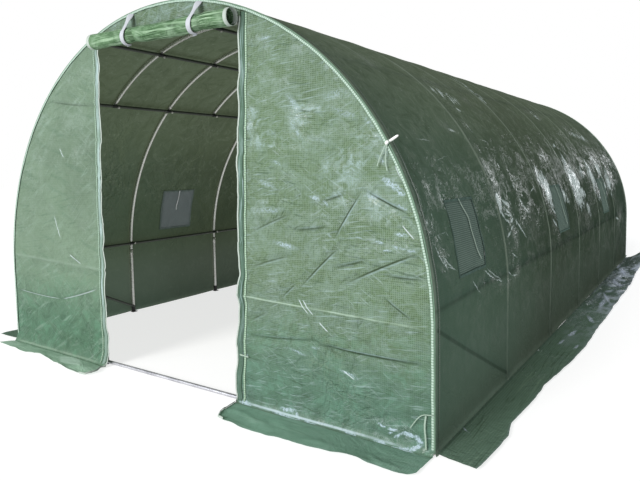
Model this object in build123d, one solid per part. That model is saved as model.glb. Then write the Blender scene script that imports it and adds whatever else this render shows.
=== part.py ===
from build123d import *
import math
import os

# Walk-in polytunnel greenhouse: galvanised tube hoops, lengthwise purlins and
# a fabric cover, with a rolled-up door in the front gable.
# Millimetres.  X runs across the tunnel, +Y from the front gable to the rear
# gable, +Z up.  The origin is on the ground at the middle of the footprint.

# ---- driving dimensions -------------------------------------------------
LENGTH = 6000.0          # gable to gable, outside of the cover
WIDTH = 3000.0           # outside of the cover
HEIGHT = 2000.0          # ground to the top of the cover
LEG = 500.0              # straight lower part of each hoop
BAYS = 6                 # hoops stand one bay apart
R_OUT = WIDTH / 2        # the roof is a half circle on the straight legs
COVER_T = 3.0            # cover and gable panels, thicker than the real film
FIT_GAP = 0.5            # air between the cover and the tubes

HOOP_D = 25.0            # hoop tube
BAR_D = 20.0             # purlins, door posts, gable bars
BRACE_D = 16.0
SADDLE = 3.0             # how deep a purlin is dished where it crosses a hoop

R_HOOP = R_OUT - COVER_T - FIT_GAP - HOOP_D / 2      # hoop centreline
R_PURLIN = R_HOOP - HOOP_D / 2 - BAR_D / 2 + SADDLE  # purlin centreline
SHOULDER_DEG = 41.4      # purlin angles, measured from the ridge
UPPER_DEG = 19.7
WAIST_Z = 570.0
HALF_ARCH_OVERRUN = 20.0 # how far a half arch runs past its shoulder purlin

FOOT_H = 50.0
FOOT_R = 16.0
FOOT_PLATE = 50.0
FOOT_T = 3.0
FOOT_OPEN = 9.0          # tube centre to the foot's open side, next to the cover

DOOR_HALF = 515.0        # half of the clear doorway
DOOR_TOP = 1840.0        # underside of the header panel
POST_X = 555.0           # door posts, behind the zip bands
GABLE_BAR_Z = 535.0
SILL_Z = FOOT_T + BAR_D / 2

ROLL_R = 46.0            # the door rolled up
ROLL_HALF = 525.0
ROLL_Z = 1852.0
STRAP_W = 28.0
STRAP_T = 1.8
STRAP_X = (-205.0, 255.0)

SKIRT_W = 232.0          # fabric lying on the ground outside the walls
SKIRT_T = 6.0
CORNER_X = 1660.0        # how far the front left skirt reaches past the corner

WINDOW_HALF = 178.0      # along the tunnel
WINDOW_S0 = 160.0        # arc length above the springing line: sill, head
WINDOW_S1 = 490.0
WINDOW_BAYS_RIGHT = (0, 2, 4)
WINDOW_BAYS_LEFT = (1, 3, 5)
TIE_W = 12.0
TIE_T = 2.0

BRACE_TOP_Z = 502.0
BRACE_FOOT_Z = 45.0

HALF = LENGTH / 2
BAY = LENGTH / BAYS
END_Y = HALF - COVER_T - FIT_GAP - HOOP_D / 2        # end hoops, inside the gable panels
hoop_y = [-END_Y] + [-HALF + BAY * i for i in range(1, BAYS)] + [END_Y]
half_y = [-HALF + BAY * (i + 0.5) for i in range(BAYS)]

os.makedirs("parts", exist_ok=True)


def box(x0, x1, y0, y1, z0, z1):
    return Pos((x0 + x1) / 2, (y0 + y1) / 2, (z0 + z1) / 2) * Box(x1 - x0, y1 - y0, z1 - z0)


def rod(p, q, d):
    """A round bar from p to q."""
    p, q = Vector(*p), Vector(*q)
    v = q - p
    return Plane(origin=p, z_dir=v.normalized()) * Cylinder(
        d / 2, v.length, align=(Align.CENTER, Align.CENTER, Align.MIN))


def on_arc(r, deg):
    """A point of the half circle, deg from the ridge, positive to the right."""
    a = math.radians(deg)
    return r * math.sin(a), LEG + r * math.cos(a)


def ring_sector(r0, r1, a0, a1, y0, y1):
    """Shell of the half circle between two angles from the ridge."""
    def pt(r, a):
        return on_arc(r, a)
    am = (a0 + a1) / 2
    p = [pt(r0, a0), pt(r0, am), pt(r0, a1), pt(r1, a1), pt(r1, am), pt(r1, a0)]
    v = [Vector(x, y0, z) for x, z in p]
    outline = Wire([
        ThreePointArc(v[0], v[1], v[2]).edge(),
        Line(v[2], v[3]).edge(),
        ThreePointArc(v[3], v[4], v[5]).edge(),
        Line(v[5], v[0]).edge(),
    ])
    return Solid.extrude(Face(outline), Vector(0, y1 - y0, 0))


def arch_tube(y, a0, a1, r, d):
    """Curved tube of the half circle between two angles from the ridge."""
    x0, z0 = on_arc(r, a0)
    xm, zm = on_arc(r, (a0 + a1) / 2)
    x1, z1 = on_arc(r, a1)
    path = ThreePointArc((x0, y, z0), (xm, y, zm), (x1, y, z1))
    return sweep(Plane(origin=path @ 0, z_dir=path % 0) * Circle(d / 2), path=path)


def hoop(y):
    arc = arch_tube(y, -90, 90, R_HOOP, HOOP_D)
    legs = [rod((s * R_HOOP, y, FOOT_T), (s * R_HOOP, y, LEG), HOOP_D) for s in (-1, 1)]
    return arc + legs[0] + legs[1]


def under_arch(x0, x1, z0, r, y0, y1):
    """Flat gable piece between x0 and x1, above z0 and under the arch."""
    def top(x):
        return LEG + math.sqrt(max(r * r - x * x, 0.0))
    pts = []
    lo, hi = (x0, x1)
    v = lambda x, z: Vector(x, y0, z)
    edges = [Line(v(lo, z0), v(hi, z0)).edge()]
    if top(hi) > z0 + 0.01:
        edges.append(Line(v(hi, z0), v(hi, top(hi))).edge())
    mid_a = (math.asin(lo / r) + math.asin(hi / r)) / 2
    mid = v(r * math.sin(mid_a), LEG + r * math.cos(mid_a))
    edges.append(ThreePointArc(v(hi, top(hi)), mid, v(lo, top(lo))).edge())
    if top(lo) > z0 + 0.01:
        edges.append(Line(v(lo, top(lo)), v(lo, z0)).edge())
    return Solid.extrude(Face(Wire(edges)), Vector(0, y1 - y0, 0))


def save(name, shape):
    if isinstance(shape, (list, tuple)):
        shape = Compound(children=[s for s in shape])
    shape.label = name
    export_step(shape, f"parts/{name}.step")


def cut(a, *tools):
    for t in tools:
        a = a - t
    return a


# ---- hoops --------------------------------------------------------------
hoops = [hoop(y) for y in hoop_y]
names = ["front_hoop"] + [f"hoop_{i}" for i in range(2, BAYS + 1)] + ["rear_hoop"]
for n, h in zip(names, hoops):
    save(n, h)

over = math.degrees(HALF_ARCH_OVERRUN / R_HOOP)
halves = [arch_tube(y, -SHOULDER_DEG - over, SHOULDER_DEG + over, R_HOOP, HOOP_D) for y in half_y]
save("half_arches", halves)

# ---- purlins, dished where they cross the hoops ---------------------------
def purlin(deg, crossed):
    x, z = on_arc(R_PURLIN, deg)
    bar = rod((x, -END_Y - HOOP_D / 2, z), (x, END_Y + HOOP_D / 2, z), BAR_D)
    for h in crossed:
        bar = bar - h
    return bar


waist_deg = 90 - math.degrees(math.asin((WAIST_Z - LEG) / R_PURLIN))
purlins = {
    "ridge_purlin": purlin(0, hoops + halves),
    "upper_purlin_left": purlin(-UPPER_DEG, hoops + halves),
    "upper_purlin_right": purlin(UPPER_DEG, hoops + halves),
    "shoulder_purlin_left": purlin(-SHOULDER_DEG, hoops + halves),
    "shoulder_purlin_right": purlin(SHOULDER_DEG, hoops + halves),
    "waist_purlin_left": purlin(-waist_deg, hoops),
    "waist_purlin_right": purlin(waist_deg, hoops),
}
for n, s in purlins.items():
    save(n, s)

# ---- feet under every hoop leg and door post -------------------------------
def foot(x, y, r_in):
    """Base plate with a socket round the tube, open where it meets the cover."""
    f = Pos(x, y, FOOT_T / 2) * Box(FOOT_PLATE, FOOT_PLATE, FOOT_T)
    f = f + Pos(x, y, FOOT_H / 2) * Cylinder(FOOT_R, FOOT_H)
    f = f - Pos(x, y, FOOT_T + FOOT_H / 2) * Cylinder(r_in, FOOT_H)
    keep = box(-(R_HOOP + FOOT_OPEN), R_HOOP + FOOT_OPEN,
               -(END_Y + FOOT_OPEN), END_Y + FOOT_OPEN, 0, FOOT_H)
    return f & keep


feet = [foot(s * R_HOOP, y, HOOP_D / 2) for y in hoop_y for s in (-1, 1)]
post_feet = [foot(s * POST_X, y, BAR_D / 2) for y in (-END_Y, END_Y) for s in (-1, 1)]
save("hoop_feet", feet)
save("post_feet", post_feet)

# ---- gable frames ---------------------------------------------------------
post_top = LEG + math.sqrt(R_HOOP ** 2 - POST_X ** 2)
for side, y, h in (("front", -END_Y, hoops[0]), ("rear", END_Y, hoops[-1])):
    posts = [cut(rod((s * POST_X, y, FOOT_T), (s * POST_X, y, post_top), BAR_D), h) for s in (-1, 1)]
    save(f"{side}_posts", posts)
    bars = []
    for s in (-1, 1):
        b = rod((s * POST_X, y, GABLE_BAR_Z), (s * R_HOOP, y, GABLE_BAR_Z), BAR_D - 2)
        b = cut(b, posts[0 if s < 0 else 1], h)
        bars.append(max(b.solids(), key=lambda q: q.volume))
    save(f"{side}_gable_bars", bars)
    sill = rod((-POST_X, y, SILL_Z), (POST_X, y, SILL_Z), BAR_D)
    for f in post_feet:
        sill = sill - f
    sill = sill - posts[0] - posts[1]
    save(f"{side}_sill_bar", max(sill.solids(), key=lambda q: q.volume))

# ---- diagonal braces in the end bays -----------------------------------------
brace_x = R_HOOP - HOOP_D / 2 - BRACE_D / 2 + 2
for side, y0, y1, i0, i1 in (("front", -END_Y, -HALF + BAY, 0, 1), ("rear", END_Y, HALF - BAY, BAYS, BAYS - 1)):
    out = []
    for s in (-1, 1):
        b = rod((s * brace_x, y0, BRACE_TOP_Z), (s * brace_x, y1, BRACE_FOOT_Z), BRACE_D)
        b = cut(b, hoops[i0], hoops[i1], *[f for f in feet])
        out.append(max(b.solids(), key=lambda q: q.volume))
    save(f"{side}_braces", out)

# ---- cover ------------------------------------------------------------------
r0, r1 = R_OUT - COVER_T, R_OUT
sill_deg = 90 - math.degrees(WINDOW_S0 / R_OUT)
head_deg = 90 - math.degrees(WINDOW_S1 / R_OUT)
for n, (a0, a1) in {
    "cover_shoulder_left": (-head_deg, -45), "cover_crown_left": (-45, 0),
    "cover_crown_right": (0, 45), "cover_shoulder_right": (45, head_deg),
}.items():
    save(n, ring_sector(r0, r1, a0, a1, -HALF, HALF))

# the band between window sill and window head: film, window, film, ...
for sg, side, bays in ((-1, "left", WINDOW_BAYS_LEFT), (1, "right", WINDOW_BAYS_RIGHT)):
    lo, hi = sorted((sg * head_deg, sg * sill_deg))
    edges_y = [-HALF]
    screens = []
    for b in bays:
        ya, yb = half_y[b] - WINDOW_HALF, half_y[b] + WINDOW_HALF
        screens.append(ring_sector(r0, r1 - 1, lo, hi, ya, yb))
        edges_y += [ya, yb]
    edges_y.append(HALF)
    save(f"cover_band_{side}", [ring_sector(r0, r1, lo, hi, edges_y[i], edges_y[i + 1])
                                for i in range(0, len(edges_y), 2)])
    save(f"window_screens_{side}", screens)

    # upright wall, with the start of the curve up to the window sills
    def at(r, a):
        x, z = on_arc(r, sg * a)
        return Vector(x, -HALF, z)
    mid = (sill_deg + 90) / 2
    outline = Wire([
        Line(Vector(sg * r0, -HALF, SKIRT_T), at(r0, 90)).edge(),
        ThreePointArc(at(r0, 90), at(r0, mid), at(r0, sill_deg)).edge(),
        Line(at(r0, sill_deg), at(r1, sill_deg)).edge(),
        ThreePointArc(at(r1, sill_deg), at(r1, mid), at(r1, 90)).edge(),
        Line(at(r1, 90), Vector(sg * r1, -HALF, SKIRT_T)).edge(),
        Line(Vector(sg * r1, -HALF, SKIRT_T), Vector(sg * r0, -HALF, SKIRT_T)).edge(),
    ])
    save(f"cover_wall_{side}", Solid.extrude(Face(outline), Vector(0, LENGTH, 0)))

# ties hanging down the outside of the window screens
ties = []
t0 = 90 - math.degrees(60.0 / R_OUT)
t1 = 90 - math.degrees((WINDOW_S1 + 15) / R_OUT)
for sg, bays in ((-1, WINDOW_BAYS_LEFT), (1, WINDOW_BAYS_RIGHT)):
    for b in bays:
        lo, hi = sorted((sg * t0, sg * t1))
        ties.append(ring_sector(r1 + 0.3, r1 + 0.3 + TIE_T, lo, hi,
                                half_y[b] - TIE_W / 2, half_y[b] + TIE_W / 2))
save("window_ties", ties)

# ---- gables -------------------------------------------------------------------
for side, ya, yb in (("front", -HALF, -HALF + COVER_T), ("rear", HALF - COVER_T, HALF)):
    save(f"{side}_panel_left", under_arch(-r0, -DOOR_HALF, LEG, r0, ya, yb)
         + box(-r0, -DOOR_HALF, ya, yb, SKIRT_T, LEG))
    save(f"{side}_panel_right", under_arch(DOOR_HALF, r0, LEG, r0, ya, yb)
         + box(DOOR_HALF, r0, ya, yb, SKIRT_T, LEG))
    save(f"{side}_header", under_arch(-DOOR_HALF, DOOR_HALF, DOOR_TOP, r0, ya, yb))
save("rear_door", box(-DOOR_HALF, DOOR_HALF, HALF - COVER_T, HALF, 0, DOOR_TOP))

# ---- rolled door and its straps --------------------------------------------------
roll_y = -HALF - ROLL_R - 0.3
roll = rod((-ROLL_HALF, roll_y, ROLL_Z), (ROLL_HALF, roll_y, ROLL_Z), 2 * ROLL_R)
save("rolled_door", roll)
straps = []
STRAP_GAP_DEG = 18.0     # a strap is open at the back, where it meets the header
g = math.radians(STRAP_GAP_DEG)
for x in STRAP_X:
    def at(r, a):
        return Vector(x - STRAP_W / 2, roll_y + r * math.cos(a), ROLL_Z + r * math.sin(a))
    ri, ro = ROLL_R + 0.3, ROLL_R + 0.3 + STRAP_T
    outline = Wire([
        ThreePointArc(at(ri, g), at(ri, math.pi), at(ri, 2 * math.pi - g)).edge(),
        Line(at(ri, 2 * math.pi - g), at(ro, 2 * math.pi - g)).edge(),
        ThreePointArc(at(ro, 2 * math.pi - g), at(ro, math.pi), at(ro, g)).edge(),
        Line(at(ro, g), at(ri, g)).edge(),
    ])
    straps.append(Solid.extrude(Face(outline), Vector(STRAP_W, 0, 0)))
save("door_straps", straps)

# ---- skirts on the ground ------------------------------------------------------
for s, side in ((-1, "left"), (1, "right")):
    a, b = sorted((s * r0, s * (R_OUT + SKIRT_W)))
    save(f"skirt_{side}", box(a, b, -HALF, HALF, 0, SKIRT_T))
    a, b = sorted((s * DOOR_HALF, s * (r0 - 1)))
    front = box(a, b, -HALF - SKIRT_W, -HALF + COVER_T, 0, SKIRT_T)
    if s < 0:    # the left one runs on past the corner
        front = front + box(-CORNER_X, a + 1, -HALF - SKIRT_W, -HALF - 1, 0, SKIRT_T)
    save(f"front_skirt_{side}", front)
    save(f"rear_skirt_{side}", box(a, b, HALF - COVER_T, HALF + SKIRT_W, 0, SKIRT_T))
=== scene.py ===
import bpy
import math
import numpy as np
from mathutils import Matrix, Vector


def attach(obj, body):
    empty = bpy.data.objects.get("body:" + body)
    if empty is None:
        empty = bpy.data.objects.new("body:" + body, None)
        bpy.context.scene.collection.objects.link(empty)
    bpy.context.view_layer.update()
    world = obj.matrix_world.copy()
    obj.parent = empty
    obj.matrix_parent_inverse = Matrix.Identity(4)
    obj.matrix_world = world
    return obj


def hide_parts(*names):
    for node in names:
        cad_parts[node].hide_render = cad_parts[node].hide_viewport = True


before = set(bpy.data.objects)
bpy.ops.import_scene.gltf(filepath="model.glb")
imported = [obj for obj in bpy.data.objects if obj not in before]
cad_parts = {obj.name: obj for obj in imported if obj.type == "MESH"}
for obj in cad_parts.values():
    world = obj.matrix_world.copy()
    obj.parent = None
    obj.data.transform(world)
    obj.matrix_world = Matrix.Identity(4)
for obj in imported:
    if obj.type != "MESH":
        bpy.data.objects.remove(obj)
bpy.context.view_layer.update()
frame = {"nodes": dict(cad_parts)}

# ------------------------------------------------------------------ sizes, metres
R = 1.4992            # outside of the film on the half circle
LEG = 0.5
Y0, Y1 = -3.0, 3.0
DOOR = 0.515
BAYS = 6
HOOP_Y = [-2.984, -2.0, -1.0, 0.0, 1.0, 2.0, 2.984]
HALF_Y = [-2.5, -1.5, -0.5, 0.5, 1.5, 2.5]
S_SPRING = math.pi * R / 2          # arc length from the ridge to the springing line
S_GROUND = S_SPRING + LEG
R_P = 1.4645                        # purlin centreline
BAR_Z = 0.535
WIN_HALF = 0.178
WIN_S = (0.16, 0.49)                # sill and head, above the springing line
WIN_RIGHT = [HALF_Y[0], HALF_Y[2], HALF_Y[4]]
WIN_LEFT = [HALF_Y[1], HALF_Y[3], HALF_Y[5]]

# ------------------------------------------------------------------ camera
PITCH, ROLL, YAW = -0.080888, 0.022851, 0.646507
FOC, CX, CY = 589.65, 271.98, 220.23
cam_at = Vector((2.3463, -5.1429, 1.1218))


def rot_x(a):
    return Matrix.Rotation(a, 3, "X")


view_r = Matrix.Rotation(YAW, 3, "Z") @ rot_x(PITCH) @ Matrix.Rotation(ROLL, 3, "Y")
vx, vy, vz = view_r.col[0], view_r.col[1], view_r.col[2]
cam_data = bpy.data.cameras.new("camera")
cam = bpy.data.objects.new("camera", cam_data)
bpy.context.scene.collection.objects.link(cam)
m = Matrix.Identity(4)
for i in range(3):
    m[i][0], m[i][1], m[i][2], m[i][3] = vx[i], vz[i], -vy[i], cam_at[i]
cam.matrix_world = m
cam_data.sensor_width = 36.0
cam_data.lens = FOC / 640 * 36.0
cam_data.shift_x = (320 - CX) / 640
cam_data.shift_y = (CY - 240.5) / 640
cam_data.clip_start, cam_data.clip_end = 0.05, 200
bpy.context.scene.camera = cam
bpy.context.scene.view_settings.view_transform = "Standard"


# ------------------------------------------------------------------ smooth random fields
def _hash(i, j, seed):
    h = (i.astype(np.int64) * 374761393 + j.astype(np.int64) * 668265263 + seed * 1442695041) & 0xFFFFFFFF
    h = ((h ^ (h >> 13)) * 1274126177) & 0xFFFFFFFF
    h = h ^ (h >> 16)
    return (h & 0xFFFF) / 32767.5 - 1.0


def vnoise(x, y, seed=0):
    x, y = np.asarray(x, float), np.asarray(y, float)
    xi, yi = np.floor(x).astype(np.int64), np.floor(y).astype(np.int64)
    xf, yf = x - xi, y - yi
    u, v = xf * xf * xf * (xf * (xf * 6 - 15) + 10), yf * yf * yf * (yf * (yf * 6 - 15) + 10)
    a, b = _hash(xi, yi, seed), _hash(xi + 1, yi, seed)
    c, d = _hash(xi, yi + 1, seed), _hash(xi + 1, yi + 1, seed)
    return (a * (1 - u) + b * u) * (1 - v) + (c * (1 - u) + d * u) * v


def fbm(x, y, seed=0, octaves=4, gain=0.5):
    out, amp, f, tot = 0.0, 1.0, 1.0, 0.0
    for k in range(octaves):
        out = out + amp * vnoise(np.asarray(x) * f + 17.3 * k, np.asarray(y) * f - 9.1 * k, seed + 31 * k)
        tot += amp
        amp *= gain
        f *= 2.03
    return out / tot


def smooth(a, b, x):
    t = np.clip((np.asarray(x, float) - a) / (b - a), 0, 1)
    return t * t * (3 - 2 * t)


def folds(U, V, n, seed, box, length=(0.05, 0.22), width=(0.006, 0.02), amp=(0.001, 0.003), angle=None, spread=math.pi):
    """Short sharp creases scattered over a flat sheet, each a little step in height."""
    rng = np.random.RandomState(seed)
    out = np.zeros(np.shape(U))
    for _ in range(n):
        cu, cv = rng.uniform(box[0], box[1]), rng.uniform(box[2], box[3])
        a = rng.uniform(0, math.pi) if angle is None else angle + rng.uniform(-0.5, 0.5) * spread
        L, w = rng.uniform(*length), rng.uniform(*width)
        h = rng.uniform(*amp) * rng.choice([-1, 1])
        bend = rng.uniform(-1, 1) * 0.6 / L
        m = (np.abs(U - cu) < 2.4 * L) & (np.abs(V - cv) < 2.4 * L)
        if not m.any():
            continue
        du, dv = U[m] - cu, V[m] - cv
        al = du * math.cos(a) + dv * math.sin(a)
        ac = (-du * math.sin(a) + dv * math.cos(a) + bend * al * al) / w
        out[m] += h * np.exp(-(al / L) ** 2) * ac * np.exp(-0.5 * ac * ac)
    return out


def crease(U, V, p, q, width, depth):
    """One long crease between two given points."""
    ax, ay = p
    bx, by = q
    L = math.hypot(bx - ax, by - ay)
    c, s = (bx - ax) / L, (by - ay) / L
    al = (U - ax) * c + (V - ay) * s
    ac = (-(U - ax) * s + (V - ay) * c + 0.12 * np.sin(al / L * math.pi) * 0.12 * L) / width
    fade = smooth(-0.08 * L - 0.01, 0.12 * L, al) * (1 - smooth(0.8 * L, 1.1 * L + 0.01, al))
    return depth * fade * (ac * np.exp(-0.5 * ac * ac) * 1.2 - 0.55 * np.exp(-0.5 * (ac - 0.2) ** 2))


# ------------------------------------------------------------------ mesh helpers
def obj_from(name, verts, faces, mats, uv=None, attrs=None, face_mat=None, flat=False):
    me = bpy.data.meshes.new(name)
    me.from_pydata([tuple(map(float, v)) for v in verts], [], [tuple(map(int, f)) for f in faces])
    me.validate(verbose=False)
    if uv is not None:
        layer = me.uv_layers.new(name="cloth")
        idx = np.empty(len(me.loops), dtype=np.int64)
        me.loops.foreach_get("vertex_index", idx)
        layer.data.foreach_set("uv", np.asarray(uv, dtype=np.float32)[idx].ravel())
    for k, v in (attrs or {}).items():
        at = me.attributes.new(name=k, type="FLOAT", domain="POINT")
        at.data.foreach_set("value", np.asarray(v, dtype=np.float32).ravel())
    if face_mat is not None:
        me.polygons.foreach_set("material_index", np.asarray(face_mat, dtype=np.int32))
    if not flat:
        me.polygons.foreach_set("use_smooth", np.ones(len(me.polygons), dtype=bool))
    for mt in mats:
        me.materials.append(mt)
    o = bpy.data.objects.new(name, me)
    bpy.context.scene.collection.objects.link(o)
    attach(o, "root")
    return o


def grid_faces(nu, nv, keep=None):
    """Quads of an nu by nv grid whose points run v fastest."""
    i, j = np.meshgrid(np.arange(nu - 1), np.arange(nv - 1), indexing="ij")
    a = i * nv + j
    f = np.stack([a, a + nv, a + nv + 1, a + 1], axis=-1)
    if keep is not None:
        f = f[keep]
    return f.reshape(-1, 4)


def compact(verts, faces, *arrays):
    used = np.unique(faces)
    remap = -np.ones(len(verts), dtype=np.int64)
    remap[used] = np.arange(len(used))
    return (verts[used], remap[faces]) + tuple(a[used] for a in arrays)


def thicken(o, t, offset=0.0):
    md = o.modifiers.new("thick", "SOLIDIFY")
    md.thickness = t
    md.offset = offset
    return md


def ribbon(name, path, normals, width, mats, thick=0.0012, uv_scale=1.0, side=None, attrs=None):
    """A flat tape along a path. side gives the across direction at each point."""
    P = np.asarray(path, float)
    N = np.asarray(normals, float)
    if side is None:
        T = np.gradient(P, axis=0)
        T /= np.linalg.norm(T, axis=1, keepdims=True)
        B = np.cross(N, T)
        B /= np.linalg.norm(B, axis=1, keepdims=True)
    else:
        B = np.asarray(side, float)
        B = np.broadcast_to(B, P.shape).copy()
        B /= np.linalg.norm(B, axis=1, keepdims=True)
    w = np.broadcast_to(np.asarray(width, float), (len(P),))[:, None]
    cols = [-0.5, -0.42, -0.2, 0.0, 0.2, 0.42, 0.5]
    lift = [0.0, 0.35, 0.5, 0.55, 0.5, 0.35, 0.0]
    V, UV = [], []
    s = np.concatenate([[0], np.cumsum(np.linalg.norm(np.diff(P, axis=0), axis=1))])
    for k, c in enumerate(cols):
        V.append(P + B * w * c + N * thick * lift[k])
        UV.append(np.stack([s * uv_scale, np.full(len(P), c) * w[:, 0]], axis=1))
    V = np.stack(V, axis=1).reshape(-1, 3)
    UV = np.stack(UV, axis=1).reshape(-1, 2)
    return obj_from(name, V, grid_faces(len(P), len(cols)), mats, uv=UV)


def spline(points, n):
    """Catmull-Rom through the points."""
    P = np.asarray(points, float)
    P = np.vstack([2 * P[0] - P[1], P, 2 * P[-1] - P[-2]])
    out = []
    segs = len(P) - 3
    for k in range(n):
        t = k / (n - 1) * segs
        i = min(int(t), segs - 1)
        f = t - i
        a, b, c, d = P[i], P[i + 1], P[i + 2], P[i + 3]
        out.append(0.5 * ((2 * b) + (c - a) * f + (2 * a - 5 * b + 4 * c - d) * f * f + (3 * b - a - 3 * c + d) * f ** 3))
    return np.array(out)


def tube(name, path, radius, mats, sides=10, caps=True, flatten=None):
    P = np.asarray(path, float)
    T = np.gradient(P, axis=0)
    T /= np.linalg.norm(T, axis=1, keepdims=True)
    up = np.array([0.0, 0.0, 1.0]) if abs(T[0][2]) < 0.9 else np.array([1.0, 0.0, 0.0])
    A = np.cross(T[0], up)
    A /= np.linalg.norm(A)
    V, UV = [], []
    r = np.broadcast_to(np.asarray(radius, float), (len(P),))
    s = 0.0
    for k in range(len(P)):
        A = A - T[k] * np.dot(A, T[k])
        A /= np.linalg.norm(A)
        B = np.cross(T[k], A)
        if k:
            s += np.linalg.norm(P[k] - P[k - 1])
        for i in range(sides):
            a = 2 * math.pi * i / sides
            V.append(P[k] + r[k] * (math.cos(a) * A + math.sin(a) * B * (flatten or 1.0)))
            UV.append((s, i / sides * 2 * math.pi * r[k]))
    F = []
    for k in range(len(P) - 1):
        for i in range(sides):
            j = (i + 1) % sides
            F.append((k * sides + i, k * sides + j, (k + 1) * sides + j, (k + 1) * sides + i))
    o_faces = [list(f) for f in F]
    if caps:
        o_faces.append(list(range(sides))[::-1])
        o_faces.append([(len(P) - 1) * sides + i for i in range(sides)])
    return V, o_faces, UV


def join_parts(name, parts, mats, flat=False):
    V, F, UV, n = [], [], [], 0
    for v, f, uv in parts:
        V += [tuple(x) for x in v]
        F += [[i + n for i in q] for q in f]
        UV += [tuple(x) for x in uv]
        n += len(v)
    return obj_from(name, np.array(V), F, mats, uv=np.array(UV), flat=flat) if not any(len(f) != 4 for f in F) else obj_poly(name, V, F, mats, UV, flat)


def obj_poly(name, V, F, mats, UV, flat=False):
    me = bpy.data.meshes.new(name)
    me.from_pydata([tuple(map(float, v)) for v in V], [], [tuple(f) for f in F])
    layer = me.uv_layers.new(name="cloth")
    for lp in me.loops:
        layer.data[lp.index].uv = UV[lp.vertex_index]
    for p in me.polygons:
        p.use_smooth = (not flat) and len(p.vertices) <= 4
    for mt in mats:
        me.materials.append(mt)
    o = bpy.data.objects.new(name, me)
    bpy.context.scene.collection.objects.link(o)
    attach(o, "root")
    return o


# ------------------------------------------------------------------ material helpers
class Nodes:
    def __init__(self, name):
        self.m = bpy.data.materials.new(name)
        self.m.use_nodes = True
        self.t = self.m.node_tree
        self.t.nodes.clear()
        self.out = self.t.nodes.new("ShaderNodeOutputMaterial")

    def new(self, kind, **props):
        n = self.t.nodes.new(kind)
        for k, v in props.items():
            setattr(n, k, v)
        return n

    def put(self, socket, v):
        if isinstance(v, bpy.types.NodeSocket):
            self.t.links.new(v, socket)
        else:
            socket.default_value = v

    def math(self, op, a, b=0.0, c=0.0, clamp=False):
        n = self.new("ShaderNodeMath", operation=op, use_clamp=clamp)
        self.put(n.inputs[0], a)
        self.put(n.inputs[1], b)
        if op in ("MULTIPLY_ADD", "SMOOTH_MIN", "SMOOTH_MAX", "WRAP", "COMPARE"):
            self.put(n.inputs[2], c)
        return n.outputs[0]

    def ramp(self, x, a, b, lo=0.0, hi=1.0, smoothed=True):
        n = self.new("ShaderNodeMapRange", interpolation_type="SMOOTHSTEP" if smoothed else "LINEAR")
        n.clamp = True
        self.put(n.inputs["Value"], x)
        n.inputs["From Min"].default_value = a
        n.inputs["From Max"].default_value = b
        n.inputs["To Min"].default_value = lo
        n.inputs["To Max"].default_value = hi
        return n.outputs["Result"]

    def mix(self, f, a, b, blend="MIX"):
        n = self.new("ShaderNodeMix", data_type="RGBA", blend_type=blend)
        self.put(n.inputs[0], f)
        self.put(n.inputs[6], a)
        self.put(n.inputs[7], b)
        return n.outputs[2]

    def uv(self, name="cloth"):
        n = self.new("ShaderNodeUVMap")
        n.uv_map = name
        return n.outputs[0]

    def attr(self, name):
        n = self.new("ShaderNodeAttribute", attribute_name=name, attribute_type="GEOMETRY")
        return n.outputs["Fac"]

    def obj(self):
        return self.new("ShaderNodeTexCoord").outputs["Object"]

    def split(self, v):
        n = self.new("ShaderNodeSeparateXYZ")
        self.put(n.inputs[0], v)
        return n.outputs

    def scale(self, v, s):
        n = self.new("ShaderNodeMapping")
        self.put(n.inputs["Vector"], v)
        n.inputs["Scale"].default_value = s if hasattr(s, "__len__") else (s, s, s)
        return n.outputs[0]

    def noise(self, v, scale, detail=3.0, rough=0.5, distort=0.0, out=0):
        n = self.new("ShaderNodeTexNoise")
        self.put(n.inputs["Vector"], v)
        n.inputs["Scale"].default_value = scale
        n.inputs["Detail"].default_value = detail
        n.inputs["Roughness"].default_value = rough
        n.inputs["Distortion"].default_value = distort
        return n.outputs[out]

    def bump(self, h, strength, distance, normal=None):
        n = self.new("ShaderNodeBump")
        self.put(n.inputs["Height"], h)
        n.inputs["Strength"].default_value = strength
        n.inputs["Distance"].default_value = distance
        if normal is not None:
            self.put(n.inputs["Normal"], normal)
        return n.outputs[0]

    def principled(self, **kw):
        n = self.new("ShaderNodeBsdfPrincipled")
        for k, v in kw.items():
            self.put(n.inputs[k.replace("_", " ")], v)
        return n

    def done(self, shader):
        self.t.links.new(shader, self.out.inputs["Surface"])
        return self.m


def rgba(r, g, b):
    return (r, g, b, 1.0)


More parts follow.
